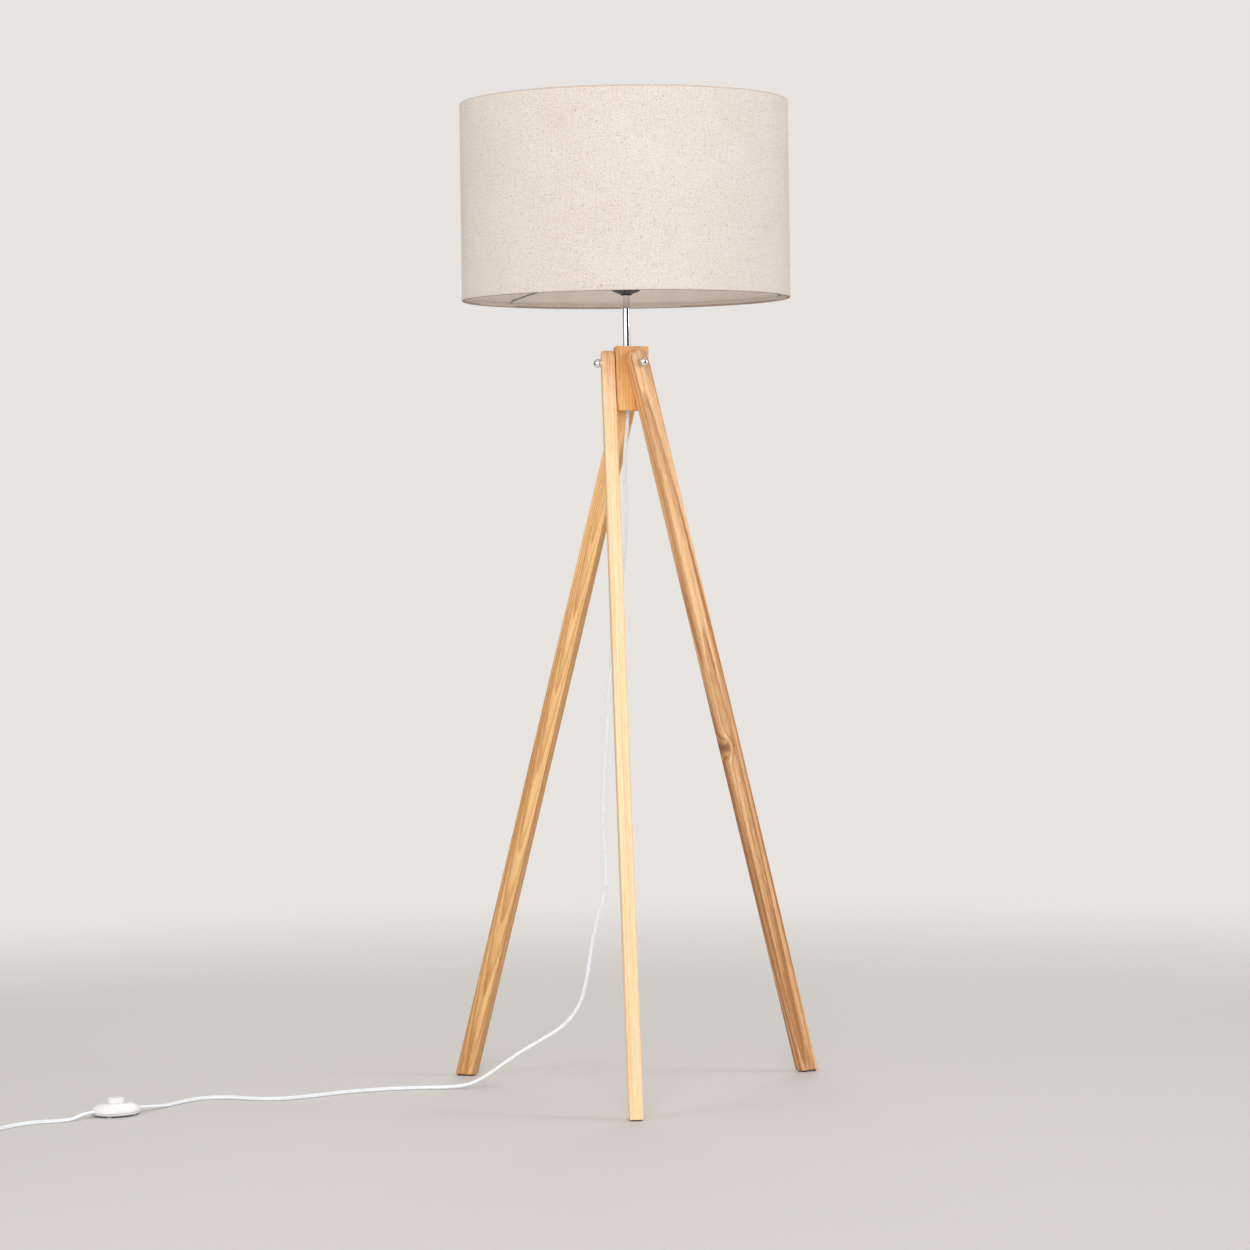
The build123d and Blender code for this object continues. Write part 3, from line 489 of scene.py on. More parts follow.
class Wiring:
    # short words for the nodes that the effects and materials are made of
    def __init__(self, tree):
        self.nodes = tree.nodes
        self.links = tree.links

    def node(self, kind, settings=None, **inputs):
        made = self.nodes.new("ShaderNode" + kind)
        for key, value in (settings or {}).items():
            setattr(made, key, value)
        for key, value in inputs.items():
            self.give(made.inputs[key.replace("_", " ")], value)
        return made

    def give(self, socket, value):
        if isinstance(value, bpy.types.NodeSocket):
            self.links.new(value, socket)
        elif isinstance(value, tuple) and len(value) == 3 and socket.type == "RGBA":
            socket.default_value = (*value, 1)
        else:
            socket.default_value = value

    def math(self, operation, a, b=0.0, clamp=False):
        made = self.nodes.new("ShaderNodeMath")
        made.operation = operation
        made.use_clamp = clamp
        self.give(made.inputs[0], a)
        self.give(made.inputs[1], b)
        return made.outputs[0]

    def swing(self, value, middle, reach):
        # how far a value is off its middle, times a reach
        return self.math("MULTIPLY", self.math("SUBTRACT", value, middle), reach)

    def range(self, value, low, high, to=(0.0, 1.0)):
        made = self.node("MapRange", {"interpolation_type": "SMOOTHSTEP"})
        for socket, number in zip(list(made.inputs)[:5], (value, low, high, *to)):
            self.give(socket, number)
        return made.outputs["Result"]

    def stretch(self, vector, scale):
        made = self.node("Mapping", None, Vector=vector)
        made.inputs["Scale"].default_value = scale
        return made.outputs["Vector"]

    def noise(self, vector, scale, detail=2.0, rough=0.5):
        made = self.node("TexNoise", None, Vector=vector, Scale=scale, Detail=detail, Roughness=rough)
        return made.outputs["Fac"]

    def mix(self, share, a, b, blend="MIX"):
        made = self.nodes.new("ShaderNodeMix")
        made.data_type = "RGBA"
        made.blend_type = blend
        self.give(made.inputs["Factor"], share)
        self.give(made.inputs["A"], a)
        self.give(made.inputs["B"], b)
        return made.outputs["Result"]


# Kinds of socket on the shared effects
colourKind, numberKind, vectorKind = "NodeSocketColor", "NodeSocketFloat", "NodeSocketVector"
effectKinds = {"Colour": colourKind, "Roughness": numberKind, "Height": numberKind}

# Wood: growth rings round a pith that leans across the bar, long streaks, and short dark pores along it
grainShape = {
    # how closely each unevenness repeats, per metre across the bar, through it and along it
    "wander": (9, 9, 1.6),
    "streaks": (150, 150, 2.4),
    "broad": (38, 38, 1.1),
    "fibre": (560, 560, 48),
    "pores": (1500, 1500, 75),
    "pithWander": 0.02,  # metres
    "ringWander": 1.5,  # rings
    "lateWood": (0.25, 0.93),  # shares of a ring between which it deepens
    "streakDepth": 2.0,
    "broadMiddle": 0.43,
    "broadDepth": 1.7,
    "fibreDepth": 1.1,
    "poreEdge": (0.66, 0.74),
    "poreGaps": (0.35, 0.6),  # broad figure between which pores go from few to many
    "fewPores": 0.25,
    "poreDark": 0.7,
    "knotOval": (1, 0, 0.6),
    "knotBulge": (3.2, 0.6),  # knot sizes from its middle between which the rings swerve
    "bulgeRings": 1.1,
    "knotHalo": (2.2, 0.8),
    "haloDark": 0.45,
    "knotHeart": (1.1, 0.5),
    "heartDark": 0.9,
    "roughness": 0.34,
    "fibreRough": 0.16,
    "poreRough": 0.2,
    "fibreHeight": 0.4,
}


def makeGrainGroup(c):
    group, given, out = newGroup(
        "grain",
        {
            "Place": (vectorKind, None),
            "Pale": (colourKind, (1, 1, 1, 1)),
            "Deep": (colourKind, (0.5, 0.5, 0.5, 1)),
            "Pore": (colourKind, (0.2, 0.1, 0.05, 1)),
            "Rings": (numberKind, 180.0),
            "Figure": (numberKind, 0.5),
            "Seed": (numberKind, 0.0),
            "Lean": (numberKind, 0.0),
            "Low": (numberKind, 0.0),
            "Knot": (vectorKind, None),
            "KnotSize": (numberKind, 0.0),
        },
        effectKinds,
    )
    w = Wiring(group)
    seed = given.outputs["Seed"]
    shift = w.node("CombineXYZ", None, X=seed, Y=seed, Z=seed)
    place = w.node("VectorMath", {"operation": "ADD"})
    w.give(place.inputs[0], given.outputs["Place"])
    w.give(place.inputs[1], shift.outputs["Vector"])
    place = place.outputs["Vector"]
    wander = w.noise(w.stretch(place, c["wander"]), 1.0, 2.0)
    parts = w.node("SeparateXYZ", None, Vector=given.outputs["Place"])
    x = w.math("ADD", parts.outputs["X"], w.swing(wander, 0.5, c["pithWander"]))
    y = w.math("ADD", parts.outputs["Y"], w.math("MULTIPLY", parts.outputs["Z"], given.outputs["Lean"]))
    fromPith = w.math("SQRT", w.math("ADD", w.math("MULTIPLY", x, x), w.math("MULTIPLY", y, y)))
    # the knot is an oval on the bar's broad face; the rings crowd round it
    away = w.node("VectorMath", {"operation": "SUBTRACT"})
    w.give(away.inputs[0], given.outputs["Place"])
    w.give(away.inputs[1], given.outputs["Knot"])
    away = w.stretch(away.outputs["Vector"], c["knotOval"])
    away = w.node("VectorMath", {"operation": "LENGTH"}, Vector=away)
    knotSize = w.math("MAXIMUM", given.outputs["KnotSize"], 0.00001)  # never a division by nought
    knotShare = w.math("DIVIDE", away.outputs["Value"], knotSize)
    bulge = w.math("MULTIPLY", w.range(knotShare, *c["knotBulge"]), c["bulgeRings"])
    ringPhase = w.math("ADD", w.math("MULTIPLY", fromPith, given.outputs["Rings"]), bulge)
    ring = w.math("FRACT", w.math("ADD", ringPhase, w.math("MULTIPLY", wander, c["ringWander"])))
    late = w.math("MULTIPLY", w.range(ring, *c["lateWood"]), w.range(ring, 1.0, c["lateWood"][1]))
    streaks = w.noise(w.stretch(place, c["streaks"]), 1.0, 3.0, 0.6)
    broad = w.noise(w.stretch(place, c["broad"]), 1.0, 2.0)
    fibre = w.noise(w.stretch(place, c["fibre"]), 1.0, 3.0, 0.65)
    deep = w.math("MULTIPLY", late, given.outputs["Figure"])
    deep = w.math("ADD", deep, w.swing(streaks, 0.5, c["streakDepth"]))
    deep = w.math("ADD", deep, w.swing(broad, c["broadMiddle"], c["broadDepth"]))
    # painted shade: the colour deepens towards the bar's foot
    low = w.math("SUBTRACT", 1.0, parts.outputs["Z"])
    deep = w.math("ADD", deep, w.math("MULTIPLY", low, given.outputs["Low"]))
    deep = w.math("ADD", deep, w.swing(fibre, 0.5, c["fibreDepth"]), True)
    colour = w.mix(deep, given.outputs["Pale"], given.outputs["Deep"])
    pores = w.range(w.noise(w.stretch(place, c["pores"]), 1.0, 1.0), *c["poreEdge"])
    pores = w.math("MULTIPLY", pores, w.range(broad, *c["poreGaps"], (c["fewPores"], 1.0)))
    halo = w.math("MULTIPLY", w.range(knotShare, *c["knotHalo"]), c["haloDark"])
    heart = w.math("MULTIPLY", w.range(knotShare, *c["knotHeart"]), c["heartDark"])
    colour = w.mix(w.math("MULTIPLY", pores, c["poreDark"]), colour, given.outputs["Pore"])
    colour = w.mix(halo, colour, given.outputs["Deep"])
    w.give(out.inputs["Colour"], w.mix(heart, colour, given.outputs["Pore"]))
    rough = w.math("ADD", c["roughness"], w.math("MULTIPLY", fibre, c["fibreRough"]))
    w.give(out.inputs["Roughness"], w.math("ADD", rough, w.math("MULTIPLY", pores, c["poreRough"])))
    w.give(out.inputs["Height"], w.math("SUBTRACT", w.math("MULTIPLY", fibre, c["fibreHeight"]), pores))
    return group


# Cloth: warp and weft as crossed ridges in the flat material's metres, uneven threads and stray dark fibres
weaveShape = {
    # how closely each unevenness repeats, per metre round the shade and up it
    "sway": (60, 60, 1),
    "warpSlub": (900, 28, 1),
    "weftSlub": (28, 900, 1),
    "mottle": (420, 420, 1),
    "cloud": (14, 14, 1),
    "fibres": ((640, 190, 1), (210, 700, 1)),
    "swayReach": 0.0012,  # metres
    "crossingDepth": 0.22,
    "slubDepth": 0.95,
    "mottleDepth": 3.0,
    "cloudDepth": 0.35,
    "ground": 0.12,
    "rareFibre": (0.90, 1.0),
    "fibreEdge": (0.46, 0.16),
    "fibreSize": (0.05, 1.0),
    "fibreSizeFrom": 0.2,
    "roughness": (0.92, 0.8),
    "slubHeight": 0.8,
}


def makeWeaveGroup(c):
    group, given, out = newGroup(
        "weave",
        {
            "Place": (vectorKind, None),
            "Thread": (numberKind, 0.0006),
            "Cloth": (colourKind, (0.8, 0.7, 0.6, 1)),
            "Shadow": (colourKind, (0.6, 0.5, 0.4, 1)),
            "Fleck": (colourKind, (0.3, 0.2, 0.15, 1)),
            "Flecks": (numberKind, 1.0),
        },
        effectKinds,
    )
    w = Wiring(group)
    place = given.outputs["Place"]
    parts = w.node("SeparateXYZ", None, Vector=place)
    around, up = parts.outputs["X"], parts.outputs["Y"]
    turns = w.math("DIVIDE", 2 * math.pi, given.outputs["Thread"])
    sway = w.swing(w.noise(w.stretch(place, c["sway"]), 1.0), 0.5, c["swayReach"])
    warp = w.math("SINE", w.math("MULTIPLY", w.math("ADD", around, sway), turns))
    weft = w.math("SINE", w.math("MULTIPLY", w.math("ADD", up, sway), turns))
    over = w.math("MULTIPLY", w.math("ADD", w.math("MULTIPLY", warp, weft), 1.0), 0.5)
    warpSlub = w.noise(w.stretch(place, c["warpSlub"]), 1.0, 2.0, 0.6)
    weftSlub = w.noise(w.stretch(place, c["weftSlub"]), 1.0, 2.0, 0.6)
    mottle = w.noise(w.stretch(place, c["mottle"]), 1.0, 3.0, 0.7)
    cloud = w.noise(w.stretch(place, c["cloud"]), 1.0, 2.0)
    shade = w.math("MULTIPLY", over, c["crossingDepth"])
    shade = w.math("ADD", shade, w.swing(warpSlub, 0.5, c["slubDepth"]))
    shade = w.math("ADD", shade, w.swing(weftSlub, 0.5, c["slubDepth"]))
    shade = w.math("ADD", shade, w.swing(mottle, 0.5, c["mottleDepth"]))
    clouded = w.math("ADD", w.math("MULTIPLY", cloud, c["cloudDepth"]), c["ground"])
    shade = w.math("ADD", shade, clouded, True)
    colour = w.mix(shade, given.outputs["Cloth"], given.outputs["Shadow"])
    fibres = []
    for scale in c["fibres"]:
        cell = w.node("TexVoronoi", {"voronoi_dimensions": "2D"}, Vector=w.stretch(place, scale), Scale=1.0)
        picked = w.node("SeparateColor", None, Color=cell.outputs["Color"])
        rare = w.range(picked.outputs["Red"], *c["rareFibre"])
        near = w.range(cell.outputs["Distance"], *c["fibreEdge"])
        size = w.range(picked.outputs["Green"], c["fibreSizeFrom"], 1.0, c["fibreSize"])
        fibres.append(w.math("MULTIPLY", w.math("MULTIPLY", rare, near), size))
    fleck = w.math("MULTIPLY", w.math("MAXIMUM", *fibres), given.outputs["Flecks"])
    w.give(out.inputs["Colour"], w.mix(fleck, colour, given.outputs["Fleck"]))
    w.give(out.inputs["Roughness"], w.range(over, 0.0, 1.0, c["roughness"]))
    slubs = w.math("MULTIPLY", w.math("ADD", warpSlub, weftSlub), c["slubHeight"])
    w.give(out.inputs["Height"], w.math("ADD", over, slubs))
    return group


# Handled surface: clouded gloss, hairline marks and a slight unevenness
handledShape = {
    "fine": 2600.0,  # repeats per metre
    "marks": (2200, 160, 160),
    "markEdge": (0.68, 0.76),
    "tintEdge": (0.35, 0.75),
    "cloudMiddle": 0.4,
    "markRough": 0.5,
    "fineHeight": 0.5,
    "markDepth": 0.4,
}


def makeHandledGroup(c):
    group, given, out = newGroup(
        "handled",
        {
            "Place": (vectorKind, None),
            "Colour": (colourKind, (0.8, 0.8, 0.8, 1)),
            "Tint": (colourKind, (0.7, 0.7, 0.7, 1)),
            "Gloss": (numberKind, 0.2),
            "Cloud": (numberKind, 0.1),
            "Scale": (numberKind, 60.0),
        },
        effectKinds,
    )
    w = Wiring(group)
    place = given.outputs["Place"]
    scaled = w.node("VectorMath", {"operation": "SCALE"}, Vector=place, Scale=given.outputs["Scale"])
    large = w.noise(scaled.outputs["Vector"], 1.0, 3.0)
    fine = w.noise(place, c["fine"], 2.0)
    marks = w.range(w.noise(w.stretch(place, c["marks"]), 1.0, 2.0), *c["markEdge"])
    tinted = w.range(large, *c["tintEdge"])
    w.give(out.inputs["Colour"], w.mix(tinted, given.outputs["Colour"], given.outputs["Tint"]))
    cloud = given.outputs["Cloud"]
    rough = w.math("ADD", given.outputs["Gloss"], w.swing(large, c["cloudMiddle"], cloud))
    rough = w.math("ADD", rough, w.math("MULTIPLY", marks, w.math("MULTIPLY", cloud, c["markRough"])), True)
    w.give(out.inputs["Roughness"], rough)
    relief = w.math("MULTIPLY", fine, c["fineHeight"])
    relief = w.math("SUBTRACT", relief, w.math("MULTIPLY", marks, c["markDepth"]))
    w.give(out.inputs["Height"], relief)
    return group


grainGroup = makeGrainGroup(grainShape)
weaveGroup = makeWeaveGroup(weaveShape)
handledGroup = makeHandledGroup(handledShape)


def dress(material, group, bump, place="Object", turn=(0, 0, 0), move=(0, 0, 0), **inputs):
    # puts a shared effect's colour, roughness and fine relief into a material; hands back that colour
    w = Wiring(material.node_tree)
    surface = w.nodes["Principled BSDF"]
    coordinates = w.node("TexCoord")
    mapping = w.node("Mapping", {"vector_type": "TEXTURE"}, Vector=coordinates.outputs[place])
    mapping.inputs["Rotation"].default_value = turn
    mapping.inputs["Location"].default_value = move
    effect = w.node("Group", {"node_tree": group}, Place=mapping.outputs["Vector"])
    for key, value in inputs.items():
        w.give(effect.inputs[key], value)
    w.links.new(effect.outputs["Colour"], surface.inputs["Base Color"])
    w.links.new(effect.outputs["Roughness"], surface.inputs["Roughness"])
    relief = w.node("Bump", None, Height=effect.outputs["Height"], Distance=bump, Strength=1.0)
    w.links.new(relief.outputs["Normal"], surface.inputs["Normal"])
    return effect.outputs["Colour"]


def paint(material, *names):
    # gives CAD nodes a material
    for name in names:
        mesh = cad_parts[name].data
        mesh.materials.clear()
        mesh.materials.append(material)


# Stage: a pale floor that fades into the backdrop, soft light from the front and a little from all sides
stageSetup = {
    "floorColour": (0.55, 0.53, 0.51),
    "floorRoughness": 0.75,
    "backdrop": (0.80, 0.775, 0.75),
    "floorFade": (1.15, 2.7),
    "floorMargin": 0.4,
    "surround": (0.62, 0.605, 0.59),  # light of the room on matt surfaces
    "reflected": [
        # what gloss mirrors, as degrees round from the camera's side (+ towards +X) and colour
        (-180, (0.30, 0.32, 0.35)),
        (-92, (0.26, 0.28, 0.32)),
        (-70, (0.06, 0.065, 0.075)),
        (-56, (0.09, 0.095, 0.11)),
        (-48, (1.5, 1.5, 1.5)),
        (6, (1.3, 1.3, 1.3)),
        (12, (0.004, 0.004, 0.005)),
        (72, (0.004, 0.004, 0.005)),
        (80, (1.4, 1.4, 1.4)),
        (100, (1.2, 1.2, 1.2)),
        (120, (0.35, 0.36, 0.38)),
        (180, (0.30, 0.32, 0.35)),
    ],
    "lights": [
        # name, place, aim, size, power, colour
        ("keyLight", (-0.15, -3.85, 2.5), (0, 0, 0.9), 1.9, 71, (1.0, 0.985, 0.97)),
        ("leftFill", (-3.4, -2.2, 2.0), (0, 0, 0.8), 1.8, 30, (1.0, 0.965, 0.91)),
        ("rightFill", (3.6, -0.7, 1.9), (0, 0, 0.9), 1.4, 40, (0.96, 0.98, 1.0)),
        ("topLight", (0.1, -1.5, 3.1), (0, 0.1, 1.2), 1.3, 7, (1.0, 0.98, 0.96)),
        ("backLight", (0.0, 2.7, 2.6), (0, 1.5, 0), 2.2, 34, (1.0, 0.985, 0.97)),
    ],
}


def makeFloor(c):
    mesh = bpy.data.meshes.new("floor")
    side = c["floorFade"][1] + c["floorMargin"]
    corners = [(-side, -side, 0), (side, -side, 0), (side, side, 0), (-side, side, 0)]
    mesh.from_pydata(corners, [], [(0, 1, 2, 3)])
    floor = bpy.data.objects.new("floor", mesh)
    bpy.context.scene.collection.objects.link(floor)
    material = bpy.data.materials.new("paleFloor")
    material.use_nodes = True
    w = Wiring(material.node_tree)
    surface = w.nodes["Principled BSDF"]
    w.give(surface.inputs["Base Color"], c["floorColour"])
    w.give(surface.inputs["Roughness"], c["floorRoughness"])
    far = w.node("VectorMath", {"operation": "LENGTH"})
    w.give(far.inputs[0], w.node("TexCoord").outputs["Object"])
    shown = w.node("MixShader", None, Fac=w.range(far.outputs["Value"], *c["floorFade"]))
    w.links.new(surface.outputs["BSDF"], shown.inputs[1])
    w.links.new(w.node("BsdfTransparent").outputs["BSDF"], shown.inputs[2])
    w.links.new(shown.outputs["Shader"], w.nodes["Material Output"].inputs["Surface"])
    mesh.materials.append(material)


def makeRoom(c):
    world = bpy.data.worlds.new("studio")
    bpy.context.scene.world = world
    world.use_nodes = True
    w = Wiring(world.node_tree)
    shown = w.nodes["Background"]
    w.give(shown.inputs["Color"], c["backdrop"])
    matt = w.node("Background", None, Color=c["surround"])
    parts = w.node("SeparateXYZ", None, Vector=w.node("TexCoord").outputs["Generated"])
    # share of the way round: atan2(x, -y) / 2 pi + 1/2, one half being the camera's side
    turn = w.math("ARCTAN2", parts.outputs["X"], w.math("MULTIPLY", parts.outputs["Y"], -1.0))
    ramp = w.node("ValToRGB", None, Fac=w.math("ADD", w.math("DIVIDE", turn, 2 * math.pi), 0.5))
    stops = ramp.color_ramp.elements
    stops.remove(stops[1])
    for degrees, colour in c["reflected"]:
        stop = stops.new(degrees / 360 + 0.5)
        stop.color = (*colour, 1)
    stops.remove(stops[0])
    gloss = w.node("Background", None, Color=ramp.outputs["Color"])
    ray = w.node("LightPath")
    lit = w.node("MixShader", None, Fac=ray.outputs["Is Glossy Ray"])
    w.links.new(matt.outputs["Background"], lit.inputs[1])
    w.links.new(gloss.outputs["Background"], lit.inputs[2])
    seen = w.node("MixShader", None, Fac=ray.outputs["Is Camera Ray"])
    w.links.new(lit.outputs["Shader"], seen.inputs[1])
    w.links.new(shown.outputs["Background"], seen.inputs[2])
    w.links.new(seen.outputs["Shader"], w.nodes["World Output"].inputs["Surface"])


def makeLights(lights):
    for name, place, aim, size, power, colour in lights:
        data = bpy.data.lights.new(name, "AREA")
        data.shape = "DISK"
        data.size = size
        data.energy = power
        data.color = colour
        light = bpy.data.objects.new(name, data)
        light.location = place
        light.rotation_euler = (Vector(aim) - Vector(place)).to_track_quat("-Z", "Y").to_euler()
        bpy.context.scene.collection.objects.link(light)


makeFloor(stageSetup)
makeRoom(stageSetup)
makeLights(stageSetup["lights"])
print("stage and light set")

# Wood: each bar's grain runs along it, and no two are alike; the side legs' darker colours are partly their
# own tone and partly painted shade
legWood = {
    # pale, deep, rings per metre, figure, seed, pith beside the bar in metres, its lean along the bar,
    # how much deeper towards the foot and how much deeper on the narrow faces, both painted shade
    "front": ((0.95, 0.67, 0.39), (0.74, 0.40, 0.18), 320, 0.30, 3.1, (0.035, 0.060), 0.004, 0.0, 0.0),
    "right": ((0.91, 0.57, 0.29), (0.42, 0.175, 0.055), 120, 0.60, 7.7, (0.006, 0.020), 0.030, 0.36, 0.45),
    "left": ((0.90, 0.555, 0.24), (0.50, 0.235, 0.07), 400, 0.50, 12.4, (0.003, -0.032), -0.022, 0.46, 0.55),
}
blockWood = ((0.94, 0.52, 0.195), (0.62, 0.28, 0.08), 260, 0.35, 21.0, (0.040, 0.050), 0.0, 0.0, 0.0)
noKnot = ((0, 0, -1), 0.001)
knots = {"right": ((0.0045, 0.0, 0.482), 0.0046)}  # place from the pith and size, in metres
woodFinish = {
    "pore": (0.26, 0.115, 0.045),
    "edgeTint": (0.70, 0.60, 0.47),  # painted shade: narrow faces are darker
    "narrow": (0.6, 0.9),  # how squarely a face turns sideways before it counts as narrow
    "gloss": 0.38,
    "coat": 0.10,
    "coatRoughness": 0.3,
    "relief": 0.00006,
    "blockTurn": 0.35,  # radians
}


def makeWood(name, look, turn, place, knot, c=woodFinish):
    pale, deep, rings, figure, seed, pith, lean, low, edge = look
    material = newMaterial(name, CoatWeight=c["coat"], CoatRoughness=c["coatRoughness"],
                           SpecularIORLevel=c["gloss"])
    axes = Euler(turn).to_matrix()
    pithPlace = Vector(place) + axes @ Vector((*pith, 0))
    grain = dress(material, grainGroup, c["relief"], turn=turn, move=tuple(pithPlace),
                  Pale=pale, Deep=deep, Pore=c["pore"], Rings=rings, Figure=figure, Seed=seed,
                  Lean=lean, Low=low, Knot=knot[0], KnotSize=knot[1])
    # painted shade on the narrow faces, which look along the bar's own first axis
    w = Wiring(material.node_tree)
    facing = w.node("VectorMath", {"operation": "DOT_PRODUCT"})
    w.give(facing.inputs[0], w.node("TexCoord").outputs["Normal"])
    w.give(facing.inputs[1], tuple(axes.col[0]))
    narrow = w.range(w.math("ABSOLUTE", facing.outputs["Value"]), *c["narrow"])
    tinted = w.mix(w.math("MULTIPLY", narrow, edge), grain, c["edgeTint"], "MULTIPLY")
    w.give(w.nodes["Principled BSDF"].inputs["Base Color"], tinted)
    return material


for leg, look in legWood.items():
    # a leg's axes: across the bar, straight out from the lamp's middle, and up the bar
    padLow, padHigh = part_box("foot_pad_" + leg)
    nutLow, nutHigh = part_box("ball_nut_" + leg)
    foot = (padLow + padHigh) / 2
    top = (nutLow + nutHigh) / 2
    outward = Vector((top.x, top.y, 0)).normalized()
    centre = Vector((foot.x, foot.y, 0))
    upward = (outward * centre.dot(outward) + Vector((0, 0, top.z)) - centre).normalized()
    side = outward.cross(upward)
    turn = Matrix((side, outward, upward)).transposed().to_euler()
    wood = makeWood("legWood" + leg.capitalize(), look, tuple(turn), centre, knots.get(leg, noKnot))
    paint(wood, "leg_" + leg)
paint(makeWood("blockWood", blockWood, (0, 0, woodFinish["blockTurn"]), (0, 0, 0), noKnot), "head_block")
print("wood done")


# Metals, plastics and the rest: colour, clouded tint, gloss and how far it varies
def handled(name, colour, tint, gloss, cloud, bump=0.00001, scale=60.0, **values):
    material = newMaterial(name, **values)
    dress(material, handledGroup, bump, Colour=colour, Tint=tint, Gloss=gloss, Cloud=cloud, Scale=scale)
    return material


chrome = handled("chrome", (0.88, 0.89, 0.90), (0.83, 0.84, 0.86), 0.03, 0.03, 0.0000004, 25.0, Metallic=1.0)
zinc = handled("zinc", (0.60, 0.61, 0.63), (0.50, 0.51, 0.53), 0.30, 0.25, 0.00001, 300.0, Metallic=1.0)
brass = handled("brass", (0.74, 0.55, 0.24), (0.60, 0.42, 0.17), 0.22, 0.25, 0.00001, 250.0, Metallic=1.0)
nickel = handled("nickel", (0.74, 0.72, 0.67), (0.64, 0.61, 0.56), 0.16, 0.2, 0.000006, 200.0, Metallic=1.0)
springSteel = handled("springSteel", (0.55, 0.56, 0.58), (0.45, 0.46, 0.48), 0.25, 0.2, 0.000006, 300.0,
                      Metallic=1.0)
# painted shade: the rims' wire rings are a dull brownish grey, matching the painted shade of the rolled edges
# where they peek out
ringPaintedShade = handled("ringPaintedShade", (0.52, 0.40, 0.33), (0.44, 0.33, 0.27), 0.55, 0.2, 0.00003, 220.0,
                     SpecularIORLevel=0.3)
wireSteel = handled("wireSteel", (0.42, 0.42, 0.44), (0.34, 0.34, 0.36), 0.20, 0.15, 0.000004, 220.0,
                    Metallic=1.0)
whiteGloss = handled("whiteGloss", (0.87, 0.87, 0.86), (0.82, 0.82, 0.81), 0.20, 0.12, 0.00002, 45.0)
holderPlastic = handled("holderPlastic", (0.80, 0.78, 0.73), (0.74, 0.72, 0.66), 0.30, 0.15, 0.00003, 80.0)
bulbPlastic = handled("bulbPlastic", (0.86, 0.86, 0.85), (0.81, 0.81, 0.80), 0.27, 0.12, 0.00003, 60.0)
cordSheath = handled("cordSheath", (0.83, 0.87, 0.90), (0.76, 0.80, 0.83), 0.33, 0.14, 0.00003, 120.0)
opal = handled("opal", (0.92, 0.92, 0.90), (0.89, 0.89, 0.87), 0.34, 0.08, 0.00002, 50.0,
               SubsurfaceWeight=0.25, SubsurfaceScale=0.004)
fibre = handled("fibre", (0.23, 0.11, 0.06), (0.15, 0.07, 0.04), 0.7, 0.2, 0.00008, 500.0)
rubber = handled("rubber", (0.62, 0.62, 0.61), (0.52, 0.52, 0.51), 0.75, 0.2, 0.00006, 300.0)
felt = handled("felt", (0.07, 0.06, 0.05), (0.035, 0.03, 0.027), 0.92, 0.1, 0.0003, 900.0, SheenWeight=0.4)
circuitBoard = handled("circuitBoard", (0.72, 0.74, 0.70), (0.60, 0.62, 0.58), 0.45, 0.2, 0.00002, 300.0)
liner = handled("liner", (0.87, 0.79, 0.72), (0.82, 0.74, 0.67), 0.42, 0.12, 0.00004, 30.0)
# painted reflection: chrome for the holder's cap made near black, standing in for a reflection of a dark
# floor
chromePaintedDark = handled("chromePaintedDark", (0.045, 0.045, 0.05), (0.035, 0.035, 0.04), 0.06, 0.04, 0.000001, 30.0,
                     Metallic=1.0)

paint(chrome, "ball_nut_front", "ball_nut_right", "ball_nut_left", "stem_tube", "holder_sleeve")
paint(chromePaintedDark, "holder_cap")
paint(zinc, "leg_studs", "stem_nipple", "stem_washer", "stem_nut", "holder_grub_screw", "switch_screws")
paint(brass, "leg_inserts", "thread_shell", "centre_contact", "terminal_screws")
paint(nickel, "bulb_cap", "plug_pins")
paint(wireSteel, "carrier_hub", "carrier_arms")
paint(ringPaintedShade, "top_ring", "carrier_ring")
paint(whiteGloss, "switch_button", "cord_clamps", "cord_bush", "plug_body",
      "plug_strain_relief", "shade_collar")
paint(holderPlastic, "holder_insert", "switch_mechanism", "pin_sleeves")
paint(bulbPlastic, "bulb_housing")
paint(opal, "bulb_globe")
paint(fibre, "pivot_washers")
paint(rubber, "switch_feet")
paint(felt, "foot_pad_front", "foot_pad_right", "foot_pad_left")
paint(circuitBoard, "light_board")
paint(liner, "shade_liner")
paint(cordSheath, "flex_inner")
newPieces = {
    switchSpring: springSteel,
    coilStrap: felt,
    switchBase: whiteGloss,
    switchCover: whiteGloss,
    cordUpper: cordSheath,
    cordLower: cordSheath,
}
for piece, material in newPieces.items():
    piece.data.materials.append(material)
print("metals and plastics done")

